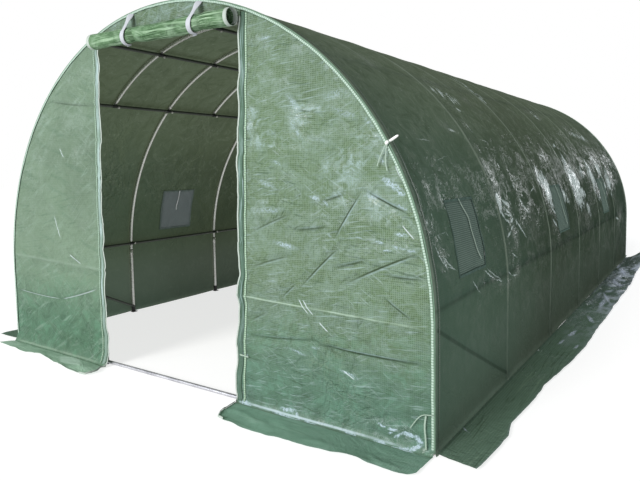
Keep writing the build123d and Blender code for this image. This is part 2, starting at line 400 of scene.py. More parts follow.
def film(name, base, pale, through, share=0.22, weave=0.5, gloss=1.0, crinkle=1.0, spec=0.12, rough=0.5, bump=1.0,
         coat_rough=0.16, glare=(0.5, 0.6, 0.6), glare_amt=0.0, lines_at=(), pitch=0.011, glint_col=(0.62, 0.70, 0.74), creases=(), scratches_and_wrinkle_shading=(), low=None, crest=None, bar=None, near=None, fine_mott=21.0,
         strokes=(), stroke_col=(0.56, 0.66, 0.66), wobble=0.016, broad=False, foil=None):
    """Reinforced film: a fine woven grid under a glossy skin, creased from being folded."""
    n = Nodes(name)
    uv = n.uv()
    x, y, _ = n.split(uv)
    # the scrim: threads both ways, drawn as soft pale lines
    px = n.math("PINGPONG", n.math("MULTIPLY", x, 1.0 / pitch), 0.5)
    py = n.math("PINGPONG", n.math("MULTIPLY", y, 1.0 / pitch), 0.5)
    tx = n.ramp(px, 0.08, 0.34, 1.0, 0.0)
    ty = n.ramp(py, 0.08, 0.34, 1.0, 0.0)
    threads = n.math("MAXIMUM", tx, ty)
    # folding lines: they shape the bump, and the colour below draws them pale as a painted highlight on the crease
    # ridges
    warp = n.new("ShaderNodeVectorMath", operation="MULTIPLY_ADD")
    n.put(warp.inputs[0], n.noise(uv, 3.1, 2.0, 0.5, out=1))
    warp.inputs[1].default_value = (0.16, 0.16, 0.0)
    n.put(warp.inputs[2], uv)
    w = warp.outputs[0]
    warp2 = n.new("ShaderNodeVectorMath", operation="MULTIPLY_ADD")
    n.put(warp2.inputs[0], n.noise(uv, 2.2, 1.0, 0.5, out=1))
    warp2.inputs[1].default_value = (0.05, 0.05, 0.0)
    n.put(warp2.inputs[2], uv)
    crk = n.attr("crinkle")
    ridge1 = n.math("ABSOLUTE", n.math("SUBTRACT", n.noise(w, 7.0, 3.0, 0.62, 0.6), 0.5))
    ridge2 = n.math("ABSOLUTE", n.math("SUBTRACT", n.noise(w, 15.0, 2.0, 0.55, 1.1), 0.5))
    patch = n.noise(uv, 2.3, 2.0, 0.5, 0.3)
    patches = n.math("MULTIPLY", n.ramp(patch, 0.47, 0.66), n.math("MULTIPLY_ADD", crk, 0.9, 0.12, clamp=True))
    lines = n.math("MAXIMUM", n.ramp(ridge1, 0.0, 0.014, 1.0, 0.0), n.math("MULTIPLY", n.ramp(ridge2, 0.0, 0.020, 1.0, 0.0), 0.8))
    lines = n.math("MULTIPLY", lines, patches)
    tone = n.noise(uv, 1.3, 3.0, 0.55, 0.4)
    mott = n.noise(w, 8.5, 4.0, 0.62, 0.5)
    fine = n.noise(uv, 105.0, 3.0, 0.70)
    # colour
    dark = tuple(c * 0.84 for c in base)
    light = tuple(min(1.0, c * 1.14 + 0.004) for c in base)
    col = n.mix(n.ramp(tone, 0.30, 0.70), rgba(*dark), rgba(*light))
    col = n.mix(n.ramp(fine, 0.35, 0.65, 0.0, 0.14 + 0.36 * (glare_amt > 0.6)), col, rgba(*(c * 0.50 for c in base)))
    if glare_amt:
        shine0 = n.attr("shine")
        mott2 = n.noise(w, fine_mott, 5.0, 0.68, 0.9)
        grain = n.noise(uv, 190.0, 1.0, 0.5)
        gm = n.math("ADD", n.math("MULTIPLY", n.ramp(mott, 0.44, 0.58), 0.55), n.math("MULTIPLY", n.ramp(mott2, 0.47, 0.57), 0.55))
        gm = n.math("MULTIPLY", gm, n.math("MULTIPLY_ADD", shine0, 0.75, 0.30, clamp=True))
        gm = n.math("MULTIPLY", gm, n.ramp(grain, 0.30, 0.62, 0.55, 1.15))
        col = n.mix(n.math("MULTIPLY", gm, glare_amt, clamp=True), col, rgba(*glare))
        col = n.mix(n.ramp(mott2, 0.30, 0.47, 0.30 + 0.22 * (glare_amt > 0.6), 0.0), col, rgba(*(c * 0.48 for c in base)))
    glint = n.attr("glint")
    web = n.math("ABSOLUTE", n.math("SUBTRACT", n.noise(w, 46.0, 3.0, 0.65, 1.6), 0.5))
    gweb = n.math("MULTIPLY", n.math("ADD", n.ramp(web, 0.0, 0.040, 1.0, 0.0), n.ramp(n.noise(w, 34.0, 3.0, 0.65, 0.8), 0.54, 0.60, 0.0, 0.45)), glint, clamp=True)
    if low is not None:
        col = n.mix(n.ramp(n.math("MULTIPLY_ADD", n.noise(uv, 2.2, 3.0, 0.55, 0.4), 0.30, y), 3.15 + low[1], 3.15 + low[2], low[3], 0.0), col, rgba(*low[0]))
        # soft crumples in the lower part, painted as lighter and darker patches: painted light and shade
        foot = n.ramp(y, 3.0 + low[1], 3.15 + low[2], 1.0, 0.0)
        m5 = n.noise(warp2.outputs[0], 9.0, 6.0, 0.72, 1.2)
        col = n.mix(n.math("MULTIPLY", n.ramp(m5, 0.50, 0.60, 0.0, 0.34), foot), col, rgba(*(min(1.0, c * 1.9) for c in low[0])))
        col = n.mix(n.math("MULTIPLY", n.ramp(m5, 0.38, 0.48, 0.42, 0.0), foot), col, rgba(*(c * 0.45 for c in low[0])))
    # painted light and shade along the length: toward the front end the film is painted lighter, and further back it
    # darkens to the base colour
    if near is not None:
        col = n.mix(n.ramp(n.math("MULTIPLY_ADD", n.noise(uv, 1.1, 2.0, 0.5), 0.8, x), near[1], near[2], near[3], 0.0), col, rgba(*near[0]))
    if crest is not None:
        # the crown is painted lighter and browner than the walls: painted light on the top of the cover
        col = n.mix(n.ramp(n.math("ABSOLUTE", n.math("SUBTRACT", y, 3.0)), crest[1], crest[2], crest[3], 0.0), col, rgba(*crest[0]))
        # the slack film's soft puckers, painted as lighter and darker patches with pale highlights: painted light and
        # shade, more over the top than down the walls
        girth = n.math("ABSOLUTE", n.math("SUBTRACT", y, 3.0))
        m3 = n.noise(w, 9.0, 6.0, 0.74, 1.4)
        m4 = n.noise(warp2.outputs[0], 30.0, 4.0, 0.70, 1.0)
        top_ = n.ramp(girth, 1.5, 2.25, 1.0, 0.18)
        col = n.mix(n.math("MULTIPLY", n.ramp(m3, 0.50, 0.62, 0.0, 0.42), top_), col, rgba(0.150, 0.192, 0.150))
        col = n.mix(n.math("MULTIPLY", n.ramp(m3, 0.36, 0.50, 0.50, 0.0), top_), col, rgba(0.040, 0.066, 0.044))
        col = n.mix(n.math("MULTIPLY", n.math("MULTIPLY", n.ramp(m4, 0.57, 0.66), n.ramp(m3, 0.46, 0.58)), n.math("MULTIPLY", top_, 0.30)), col, rgba(0.30, 0.37, 0.32))
    thr_amt = n.math("MULTIPLY", threads, 0.34 * weave)
    if low is not None:
        thr_amt = n.math("MULTIPLY", thr_amt, n.ramp(y, 3.0 + low[1], 3.0 + low[2] + 0.1, 0.25, 1.0))
    col = n.mix(thr_amt, col, rgba(*pale))
    # streaks along one direction: fine scratches, and painted light and shade on wrinkles
    for (ang, ln, thin, lo_, hi_, amt, tint) in scratches_and_wrinkle_shading:
        mp = n.new("ShaderNodeMapping", vector_type="TEXTURE")
        n.put(mp.inputs["Vector"], uv if thin < 0.007 else warp2.outputs[0])
        mp.inputs["Rotation"].default_value = (0.0, 0.0, ang)
        mp.inputs["Scale"].default_value = (ln, thin, 1.0)
        mp.inputs["Location"].default_value = (ang * 7.3 + 0.7, ang * 3.1, 0.0)
        hr = n.ramp(n.noise(mp.outputs[0], 1.0, 2.0, 0.55, 0.0), lo_, hi_)
        spot = n.ramp(n.noise(uv, 3.4 + ang, 2.0, 0.5, 0.2), 0.40, 0.60, 0.15, 1.0)
        col = n.mix(n.math("MULTIPLY", n.math("MULTIPLY", hr, spot), amt), col, rgba(*tint))
    # pale crease lines: painted highlight along the crease ridges
    col = n.mix(n.math("MULTIPLY", lines, 0.42 * crinkle), col, rgba(*pale))
    # ridge: painted highlight where the film stands up over a hoop, bar, pleat, fold or edge
    ridge = n.attr("ridge")
    col = n.mix(n.math("MULTIPLY", ridge, 0.8, clamp=True), col, rgba(*pale))
    col = n.mix(n.math("MULTIPLY", gweb, 0.75, clamp=True), col, rgba(*glint_col))
    if strokes:
        # crumples that catch the light: slim patches with ragged edges
        wig = n.new("ShaderNodeVectorMath", operation="MULTIPLY_ADD")
        n.put(wig.inputs[0], n.noise(uv, 17.0, 4.0, 0.7, out=1))
        wig.inputs[1].default_value = (wobble, wobble, 0.0)
        n.put(wig.inputs[2], uv)
        val, vbig = None, None
        for (sx_, sy_, sa_, r1_, r2_, am_) in strokes:
            wide = broad and r2_ > 0.024
            if wide:
                r1_, r2_ = r1_ * 1.45, r2_ * 1.55 + 0.02
            mp = n.new("ShaderNodeMapping", vector_type="TEXTURE")
            n.put(mp.inputs["Vector"], wig.outputs[0])
            mp.inputs["Location"].default_value = (sx_ + wobble * 0.5, sy_ + wobble * 0.5, 0.0)
            mp.inputs["Rotation"].default_value = (0.0, 0.0, sa_)
            mp.inputs["Scale"].default_value = (r1_, r2_, 1.0)
            gr = n.new("ShaderNodeTexGradient", gradient_type="SPHERICAL")
            n.put(gr.inputs[0], mp.outputs[0])
            v_ = n.math("MULTIPLY", gr.outputs[1], am_)
            if wide:
                vbig = v_ if vbig is None else n.math("MAXIMUM", vbig, v_)
            else:
                val = v_ if val is None else n.math("MAXIMUM", val, v_)
        speck = n.ramp(n.noise(uv, 120.0, 3.0, 0.7, 0.6), 0.40, 0.60, 0.05, 1.0)
        speck = n.math("ADD", speck, n.ramp(val, 0.40, 0.90, 0.0, 0.60), clamp=True)
        smask = n.math("MULTIPLY", n.ramp(val, 0.03, 0.42), speck)
        if vbig is not None:
            # the wide ones break up into upright puckers, denser at the middle
            mp = n.new("ShaderNodeMapping", vector_type="TEXTURE")
            n.put(mp.inputs["Vector"], wig.outputs[0])
            mp.inputs["Rotation"].default_value = (0.0, 0.0, 0.22)
            mp.inputs["Scale"].default_value = (0.030, 0.115, 1.0)
            puck = n.noise(mp.outputs[0], 1.0, 4.0, 0.66, 0.7)
            rim = n.math("ABSOLUTE", n.math("SUBTRACT", n.noise(uv, 13.0, 3.0, 0.6, 1.4), 0.5))
            puck = n.math("ADD", puck, n.ramp(rim, 0.0, 0.030, 0.10, 0.0))
            cover = n.ramp(n.math("MULTIPLY_ADD", vbig, 0.26, puck), 0.585, 0.680)
            cover = n.math("MULTIPLY", cover, n.ramp(vbig, 0.0, 0.16))
            cover = n.math("MULTIPLY", cover, n.ramp(n.noise(uv, 70.0, 3.0, 0.7, 0.4), 0.36, 0.58, 0.45, 1.0))
            smask = n.math("MAXIMUM", smask, cover)
        col = n.mix(n.math("MULTIPLY", smask, 0.92, clamp=True), col, rgba(*stroke_col))
    shade = n.attr("shade")
    # painted shadow of each brace seen through the film, added to the painted shade
    for (x0, y0, x1, y1, half) in lines_at:
        ln = math.hypot(x1 - x0, y1 - y0)
        c, s_ = (x1 - x0) / ln, (y1 - y0) / ln
        ac = n.math("ABSOLUTE", n.math("ADD", n.math("MULTIPLY", x, -s_), n.math("MULTIPLY_ADD", y, c, x0 * s_ - y0 * c)))
        al = n.math("ADD", n.math("MULTIPLY", x, c), n.math("MULTIPLY_ADD", y, s_, -x0 * c - y0 * s_))
        mask = n.math("MULTIPLY", n.ramp(ac, half * 0.5, half * 1.6, 1.0, 0.0),
                      n.math("MULTIPLY", n.ramp(al, 0.0, 0.02), n.ramp(al, ln - 0.02, ln, 1.0, 0.0)))
        shade = n.math("MAXIMUM", shade, n.math("MULTIPLY", mask, 0.50))
    # painted highlight lines: along the top of the gable bar under the film, and along the fold at the foot
    for (bx0, bx1, by, sl, hw_, bamt, bcol) in (bar or ()):
        d = n.math("SUBTRACT", n.math("MULTIPLY_ADD", x, sl, by + 3.0 - 3.0 * sl), y)
        wavy = n.noise(uv, 9.0, 2.0, 0.5)
        da = n.math("ABSOLUTE", n.math("MULTIPLY_ADD", wavy, 0.005, n.math("SUBTRACT", d, 0.0025)))
        along = n.math("MULTIPLY", n.ramp(x, bx0 + 3.0, bx0 + 3.02), n.ramp(x, bx1 + 2.9, bx1 + 3.0, 1.0, 0.0))
        along = n.math("MULTIPLY", along, n.ramp(n.noise(uv, 5.5, 3.0, 0.6), 0.38, 0.56, 0.45, 1.0))
        col = n.mix(n.math("MULTIPLY", n.ramp(da, hw_ * 0.5, hw_ * 1.5, 1.0, 0.0), n.math("MULTIPLY", along, bamt)), col, rgba(*bcol))
    # painted shade along each crease with a painted highlight beside it; a negative amount draws only a painted
    # highlight line
    for (x0, y0, x1, y1, half, amt) in creases:
        ln = math.hypot(x1 - x0, y1 - y0)
        c, s_ = (x1 - x0) / ln, (y1 - y0) / ln
        X0, Y0_ = x0 + 3.0, y0 + 3.0
        al = n.math("ADD", n.math("MULTIPLY", x, c), n.math("MULTIPLY_ADD", y, s_, -X0 * c - Y0_ * s_))
        ac = n.math("ADD", n.math("MULTIPLY", x, -s_), n.math("MULTIPLY_ADD", y, c, X0 * s_ - Y0_ * c))
        ac = n.math("ADD", ac, n.math("MULTIPLY", n.math("MULTIPLY", al, 0.0576), n.math("MULTIPLY_ADD", al, -1.0 / ln, 1.0)))
        if amt < 0:
            tk = n.math("MULTIPLY", n.ramp(al, 0.0, ln * 0.15), n.ramp(al, ln * 0.8, ln, 1.0, 0.0))
            core = n.ramp(n.math("ABSOLUTE", ac), half * 0.3, half * 1.2, 1.0, 0.0)
            col = n.mix(n.math("MULTIPLY", n.math("MULTIPLY", core, tk), -amt), col, rgba(*glint_col))
            continue
        taper = n.math("MULTIPLY", n.ramp(al, 0.0, ln * 0.35), n.ramp(al, ln * 0.6, ln, 1.0, 0.15))
        inside = n.math("MULTIPLY", n.ramp(al, -0.002, 0.01), n.ramp(al, ln - 0.01, ln + 0.002, 1.0, 0.0))
        dk = n.ramp(n.math("ABSOLUTE", n.math("ADD", ac, half * 0.5)), half * 0.35, half * 1.4, 1.0, 0.0)
        lt = n.ramp(n.math("ABSOLUTE", n.math("SUBTRACT", ac, half * 1.6)), half * 0.3, half * 1.6, 1.0, 0.0)
        tk = n.math("MULTIPLY", taper, inside)
        col = n.mix(n.math("MULTIPLY", n.math("MULTIPLY", lt, tk), 0.40 * amt), col, rgba(*glare))
        col = n.mix(n.math("MULTIPLY", n.math("MULTIPLY", dk, tk), 0.94 * amt, clamp=True), col, rgba(*(c * 0.25 for c in base)))
    col = n.mix(n.math("MULTIPLY", shade, 0.75, clamp=True), col, rgba(*(c * 0.35 for c in base)))
    # height
    h = n.math("MULTIPLY", n.math("ADD", n.ramp(ridge1, 0.0, 0.09, 1.0, 0.0), n.math("MULTIPLY", n.ramp(ridge2, 0.0, 0.08, 1.0, 0.0), 0.5)),
               n.math("MULTIPLY", n.ramp(patch, 0.36, 0.62, 0.25, 1.0), n.math("MULTIPLY_ADD", crk, 0.9, 0.18)))
    b1 = n.bump(h, 0.75 * bump, 0.007)
    b2 = n.bump(n.math("MULTIPLY", n.noise(w, 26.0, 3.0, 0.55, 0.8), n.math("MULTIPLY_ADD", crk, 0.8, 0.25)), 0.40 * bump, 0.004, b1)
    b3 = n.bump(threads, 0.35 * weave, 0.0006, b2)
    # shine
    shine = n.attr("shine")
    g = n.math("MULTIPLY", n.ramp(n.noise(w, 6.5, 4.0, 0.62, 0.8), 0.42, 0.54), n.ramp(n.noise(w, 24.0, 3.0, 0.65, 1.0), 0.42, 0.56, 0.15, 1.0))
    g = n.math("ADD", g, n.math("MULTIPLY", lines, 0.5), clamp=True)
    coat = n.math("MULTIPLY", g, n.math("MULTIPLY_ADD", shine, 0.75 * gloss, 0.06 * gloss), clamp=True)
    body = n.principled(Base_Color=col, Roughness=rough, Normal=b3)
    body.inputs["Specular IOR Level"].default_value = spec
    n.put(body.inputs["Coat Weight"], coat)
    body.inputs["Coat Roughness"].default_value = coat_rough
    body.inputs["Coat IOR"].default_value = 1.5
    n.put(body.inputs["Coat Normal"], b2)
    tr = n.new("ShaderNodeBsdfTranslucent")
    thru = n.mix(n.ramp(tone, 0.3, 0.7), rgba(*(c * 0.85 for c in through)), rgba(*through))
    if crest is not None:
        # the ground throws light on the foot of the walls, and the haunch is the darkest
        girth = n.math("ABSOLUTE", n.math("SUBTRACT", y, 3.0))
        thru = n.mix(n.math("MULTIPLY", n.ramp(girth, 1.35, 1.75), n.ramp(girth, 2.15, 2.45, 0.45, 0.0)), thru, rgba(*(c * 0.45 for c in through)))
        thru = n.mix(n.ramp(girth, 2.20, 2.60, 0.0, 0.90), thru, rgba(0.265, 0.315, 0.235))
    thru = n.mix(n.math("MULTIPLY", shade, 0.8, clamp=True), thru, rgba(*(c * 0.3 for c in through)))
    n.put(tr.inputs["Color"], thru)
    n.put(tr.inputs["Normal"], b2)
    mx = n.new("ShaderNodeMixShader")
    mx.inputs[0].default_value = share
    n.t.links.new(body.outputs[0], mx.inputs[1])
    n.t.links.new(tr.outputs[0], mx.inputs[2])
    return n.done(mx.outputs[0])


def steel(name, base, dark, metallic=0.65, rough=0.42, streak=1.0):
    n = Nodes(name)
    p = n.obj()
    spang = n.noise(p, 160.0, 2.0, 0.6)
    cloud = n.noise(p, 9.0, 3.0, 0.6)
    scr = n.noise(n.scale(p, (1.0, 1.0, 1.0)), 420.0, 1.0, 0.5)
    col = n.mix(n.ramp(cloud, 0.35, 0.68, 0.0, 0.8), rgba(*base), rgba(*dark))
    col = n.mix(n.ramp(spang, 0.42, 0.62, 0.0, 0.35), col, rgba(*(min(1, c * 1.25) for c in base)))
    bs = n.principled(Base_Color=col, Metallic=metallic, Roughness=n.ramp(spang, 0.3, 0.7, rough - 0.08, rough + 0.10),
                      Normal=n.bump(n.math("ADD", spang, n.math("MULTIPLY", scr, 0.4)), 0.15, 0.0006))
    return n.done(bs.outputs[0])


def plastic(name, base, rough=0.5, grain=220.0):
    n = Nodes(name)
    p = n.obj()
    f = n.noise(p, grain, 3.0, 0.6)
    dust = n.noise(p, 14.0, 4.0, 0.65)
    col = n.mix(n.ramp(dust, 0.45, 0.75, 0.0, 0.35), rgba(*base), rgba(*(min(1, c * 2.2 + 0.02) for c in base)))
    bs = n.principled(Base_Color=col, Roughness=n.ramp(dust, 0.3, 0.7, rough - 0.08, rough + 0.12), Normal=n.bump(f, 0.25, 0.0004))
    bs.inputs["Specular IOR Level"].default_value = 0.4
    return n.done(bs.outputs[0])


def webbing(name, base, pitch=0.0022, stitch=True, rough=0.7, dark=0.6):
    """Woven tape: a fine rib across, and a fainter one along."""
    n = Nodes(name)
    uv = n.uv()
    x, y, _ = n.split(uv)
    rib = n.math("PINGPONG", n.math("MULTIPLY", x, 1.0 / pitch), 0.5)
    rib2 = n.math("PINGPONG", n.math("MULTIPLY", y, 1.0 / (pitch * 0.8)), 0.5)
    weave = n.math("ADD", rib, n.math("MULTIPLY", rib2, 0.6))
    blot = n.noise(uv, 18.0, 3.0, 0.6)
    col = n.mix(n.ramp(weave, 0.1, 0.75, 0.0, 0.45), rgba(*(c * dark for c in base)), rgba(*base))
    col = n.mix(n.ramp(blot, 0.4, 0.75, 0.0, 0.35), col, rgba(*(c * 0.72 for c in base)))
    bs = n.principled(Base_Color=col, Roughness=rough, Normal=n.bump(weave, 0.5, 0.0007))
    bs.inputs["Specular IOR Level"].default_value = 0.3
    return n.done(bs.outputs[0])


def stitched(name, base, thread, pitch=0.008, row=(0.0050, 0.0066), spec=0.35):
    """A sewn seam: film folded under a row of pale stitches."""
    n = Nodes(name)
    uv = n.uv()
    x, y, _ = n.split(uv)
    st = n.math("PINGPONG", n.math("MULTIPLY", x, 1.0 / pitch), 0.5)
    on = n.ramp(st, 0.14, 0.26)
    across = n.math("ABSOLUTE", y)
    inrow = n.ramp(across, row[0], row[1], 1.0, 0.0)
    mask = n.math("MULTIPLY", n.math("MULTIPLY_ADD", on, 0.65, 0.35), inrow)
    blot = n.noise(uv, 30.0, 3.0, 0.6)
    col = n.mix(n.ramp(blot, 0.35, 0.7), rgba(*(c * 0.8 for c in base)), rgba(*base))
    col = n.mix(mask, col, rgba(*thread))
    bs = n.principled(Base_Color=col, Roughness=0.55, Normal=n.bump(n.math("ADD", mask, n.math("MULTIPLY", blot, 0.4)), 0.6, 0.0012))
    bs.inputs["Specular IOR Level"].default_value = spec
    return n.done(bs.outputs[0])


GREEN = (0.092, 0.138, 0.096)
PALE = (0.24, 0.30, 0.24)
THROUGH = (0.215, 0.268, 0.142)
GLINTS_ROOF = [
    (0.3127, 4.8489, -2.2344, 0.0432, 0.0053, 0.5), (0.4094, 4.8831, -3.0827, 0.0858, 0.0019, 0.42), (0.5654, 4.8886, -3.1303, 0.0939, 0.002, 0.42),
    (0.1337, 5.08, -2.2334, 0.0794, 0.0069, 0.62), (0.2145, 5.121, -2.5166, 0.079, 0.0063, 0.62), (0.18, 5.1184, -2.1987, 0.0392, 0.0128, 0.55),
    (0.2466, 5.1475, -2.8274, 0.0731, 0.0034, 0.6), (0.1622, 5.0056, -2.3508, 0.0184, 0.006, 0.7), (0.2121, 4.9952, 3.0806, 0.0318, 0.0022, 0.5),
    (0.2545, 5.0039, -2.5557, 0.0211, 0.0037, 0.5), (0.7393, 5.2519, -2.7374, 0.1157, 0.0052, 0.8), (0.8062, 5.2588, -2.7355, 0.1608, 0.004, 0.8),
    (0.871, 5.2987, -2.8898, 0.0628, 0.0044, 0.7), (0.5342, 5.2723, -2.5077, 0.0816, 0.0055, 0.6), (1.0419, 5.29, -2.6933, 0.0496, 0.0072, 0.65),
    (1.1461, 5.3144, -3.0677, 0.0779, 0.0053, 0.65), (1.1918, 4.9189, -2.7556, 0.0942, 0.0138, 0.95), (1.0672, 4.9162, 2.1009, 0.0466, 0.0272, 1),
    (1.0776, 4.9774, -2.6015, 0.0435, 0.0202, 1), (1.1459, 5.02, -2.814, 0.0593, 0.01, 0.95), (1.2296, 5.0209, 2.7879, 0.0508, 0.0116, 0.95),
    (1.2019, 4.9686, -2.6728, 0.084, 0.0107, 0.85), (1.2083, 5.0602, 2.9222, 0.0492, 0.0086, 0.85), (1.1276, 5.0887, 2.8015, 0.0536, 0.0103, 0.85),
    (1.1773, 5.2101, -2.8201, 0.0638, 0.0057, 0.7), (1.3221, 5.0373, -0.1904, 0.0258, 0.0203, 0.8), (0.0767, 4.9371, 2.1367, 0.019, 0.0083, 0.5),
    (0.1497, 4.9145, -1.8282, 0.0268, 0.0054, 0.4), (2.2475, 4.8802, -2.5189, 0.1859, 0.0772, 1.25), (2.6384, 4.9505, -2.9138, 0.1657, 0.0408, 0.75),
    (3.2423, 4.8729, -2.6143, 0.1868, 0.1507, 1.35), (3.698, 4.7723, -0.117, 0.0871, 0.0418, 0.6), (4.143, 4.8174, 2.1252, 0.1413, 0.1153, 1),
    (4.7169, 4.7525, 2.8232, 0.1025, 0.0942, 0.7), (5.0396, 4.8995, 2.4573, 0.1454, 0.1007, 0.95), (4.7408, 4.9478, -2.8106, 0.1099, 0.0424, 0.75),
    (3.4299, 4.9499, -2.8841, 0.1108, 0.0305, 1), (1.4672, 4.828, 2.1782, 0.023, 0.0142, 0.6), (1.5801, 4.7911, 3.0255, 0.0977, 0.0038, 0.5),
    (2.2905, 5.0421, -2.7563, 0.173, 0.0135, 0.75), (2.2187, 5.1175, -2.6195, 0.081, 0.0165, 0.75), (2.3379, 5.1162, -2.7128, 0.068, 0.0118, 0.6),
    (1.2241, 4.9222, -2.7791, 0.0659, 0.0162, 0.85), (1.3901, 5.0825, -2.5443, 0.1423, 0.0114, 0.65), (1.5224, 4.9327, -2.1517, 0.0488, 0.0185, 0.5),
    (1.5725, 4.9776, -2.562, 0.0726, 0.0115, 0.5), (1.8244, 4.8695, 2.821, 0.0899, 0.0068, 0.42), (3.5538, 5.1036, -2.6228, 0.1069, 0.0269, 0.6),
    (5.2872, 5.3225, -3.0217, 0.1856, 0.0175, 0.6), (4.614, 4.6326, 2.9146, 0.0882, 0.0211, 0.5), (3.2727, 4.6215, 2.8239, 0.0568, 0.0165, 0.5),
    (3.1504, 4.5267, 3.1087, 0.0422, 0.0187, 0.5), (2.5369, 4.6244, -2.916, 0.0906, 0.0163, 0.35), (3.2447, 5.0136, -3.0438, 0.1931, 0.0115, 0.75),
    (1.1875, 4.9882, -2.9364, 0.0969, 0.0069, 0.75), (4.2992, 5.053, -2.7376, 0.2114, 0.0262, 0.45), (1.2612, 4.3086, -2.9975, 0.0463, 0.0167, 0.55),
    (0.8636, 4.4857, -2.9229, 0.0582, 0.0141, 0.45), (2.1297, 3.996, 1.9627, 0.2336, 0.0422, 0.3), (1.1919, 4.4489, -2.0689, 0.0591, 0.0184, 0.4),
    (3.4824, 4.1513, -2.9657, 0.083, 0.0378, 0.4), (0.5004, 4.6571, 3.0033, 0.1833, 0.0031, 0.3), (1.3356, 4.6979, -2.7243, 0.0198, 0.0137, 0.5),
    (1.2626, 4.1905, -2.9977, 0.1577, 0.0374, 0.28), (0.4103, 4.561, -3.1122, 0.1182, 0.0047, 0.35), (1.3143, 4.5358, -2.9364, 0.0848, 0.0072, 0.3),
    (4.7784, 4.3528, -3.0241, 0.3583, 0.0286, 0.35), (3.2054, 4.514, -3.0781, 0.0601, 0.0237, 0.6), (3.2662, 4.6363, -0.561, 0.0559, 0.0384, 0.6),
]
GLINTS_FRONT = [
    (3.5536, 3.0073, 3.0523, 0.0467, 0.0163, 0.92), (3.8005, 2.9985, 3.0369, 0.0992, 0.0144, 1.035), (3.7993, 3.0309, -3.0359, 0.0604, 0.0123, 0.713),
    (3.8549, 3.0208, 2.3445, 0.0392, 0.0114, 0.69), (3.93, 2.9969, 3.0164, 0.0446, 0.0129, 0.9775), (4.1355, 3.0031, 2.9894, 0.0385, 0.0135, 0.8625),
    (4.2745, 3.0014, 3.0277, 0.0421, 0.0138, 1.0925), (4.351, 3.0481, -2.5522, 0.0386, 0.0073, 0.805), (4.3942, 3.0607, -3.1098, 0.0393, 0.0128, 1.15),
    (4.4334, 3.0488, 2.4201, 0.0307, 0.0162, 1.15), (4.4243, 3.0179, -2.5412, 0.0374, 0.0102, 1.0925), (4.3617, 3.0018, -2.9353, 0.0592, 0.0097, 1.035),
    (4.3893, 2.9843, 3.1229, 0.0416, 0.0141, 1.15), (4.2718, 3.0715, 2.9549, 0.023, 0.008, 1.035), (4.3198, 3.0647, -3.0557, 0.0262, 0.0073, 1.035),
    (4.3146, 3.0495, -2.7476, 0.0177, 0.006, 0.92), (3.9633, 4.0058, 2.9209, 0.0423, 0.0175, 0.4092), (4.0176, 3.9842, 2.2855, 0.0305, 0.0103, 0.363),
    (4.0125, 3.9302, 2.7502, 0.0397, 0.0112, 0.231), (4.2398, 4.0153, 2.9722, 0.0499, 0.0149, 0.396), (4.3615, 4.0312, 2.7801, 0.0314, 0.0158, 0.561),
    (4.367, 3.9759, 2.7618, 0.0629, 0.0134, 0.33), (4.3039, 3.9317, 1.8313, 0.0421, 0.0072, 0.2508), (4.3624, 3.8667, 3.0597, 0.0425, 0.0099, 0.5148),
    (4.1875, 3.8415, 2.8432, 0.0389, 0.0065, 0.33), (4.2678, 3.8311, 2.854, 0.0353, 0.0077, 0.4488), (4.3551, 3.8118, 2.9696, 0.0465, 0.0095, 0.495),
    (4.4009, 3.8021, 3.0877, 0.0336, 0.0092, 0.4752), (4.3048, 3.7974, 3.115, 0.0246, 0.0087, 0.561), (4.0365, 3.8471, 2.4275, 0.025, 0.0072, 0.2772),
    (4.0984, 3.8413, -3.1102, 0.0284, 0.0092, 0.198), (3.7124, 4.7238, -3.1175, 0.0627, 0.0175, 0.264), (3.8562, 4.428, 2.3453, 0.0972, 0.0249, 0.2772),
    (3.8759, 4.2987, 2.1827, 0.0883, 0.0226, 0.264), (4.0726, 4.4414, -3.0864, 0.1065, 0.0386, 0.231), (4.1111, 4.3591, 2.7177, 0.122, 0.0291, 0.2508),
    (3.7634, 4.1649, 2.8735, 0.0637, 0.0179, 0.2772), (3.7043, 4.0677, 2.7495, 0.1138, 0.0189, 0.264), (3.7146, 3.9499, -3.1204, 0.1426, 0.0246, 0.297),
    (4.326, 4.0612, 2.5367, 0.0875, 0.0232, 0.495), (4.0798, 4.5329, 2.7557, 0.0405, 0.0199, 0.264), (4.2846, 4.1583, 2.3918, 0.0609, 0.0205, 0.2772),
    (4.2256, 4.3147, 2.2758, 0.0867, 0.0266, 0.231), (3.9991, 4.2552, 2.8031, 0.1165, 0.0213, 0.1716), (3.7338, 4.3061, 2.8951, 0.0733, 0.0256, 0.1848),
    (3.7967, 3.7941, 2.97, 0.0933, 0.0201, 0.396), (3.7711, 3.5863, -2.9608, 0.2052, 0.0163, 0.165), (4.1209, 3.2603, 2.8669, 0.0675, 0.012, 0.429),
    (3.854, 3.3115, 2.9393, 0.0792, 0.0108, 0.33), (3.9507, 3.345, 3.1048, 0.0414, 0.0084, 0.297), (3.5437, 3.2476, 2.9602, 0.0407, 0.0175, 0.396),
    (3.72, 3.395, -3.072, 0.1677, 0.0169, 0.1452),
]
GLINTS_SKIRTF = [
    (4.1246, 2.7741, -2.9165, 0.0465, 0.007, 0.7), (4.2075, 2.7916, -2.8665, 0.0561, 0.0092, 0.75), (4.4669, 2.7785, -2.8569, 0.0444, 0.0104, 0.7),
]
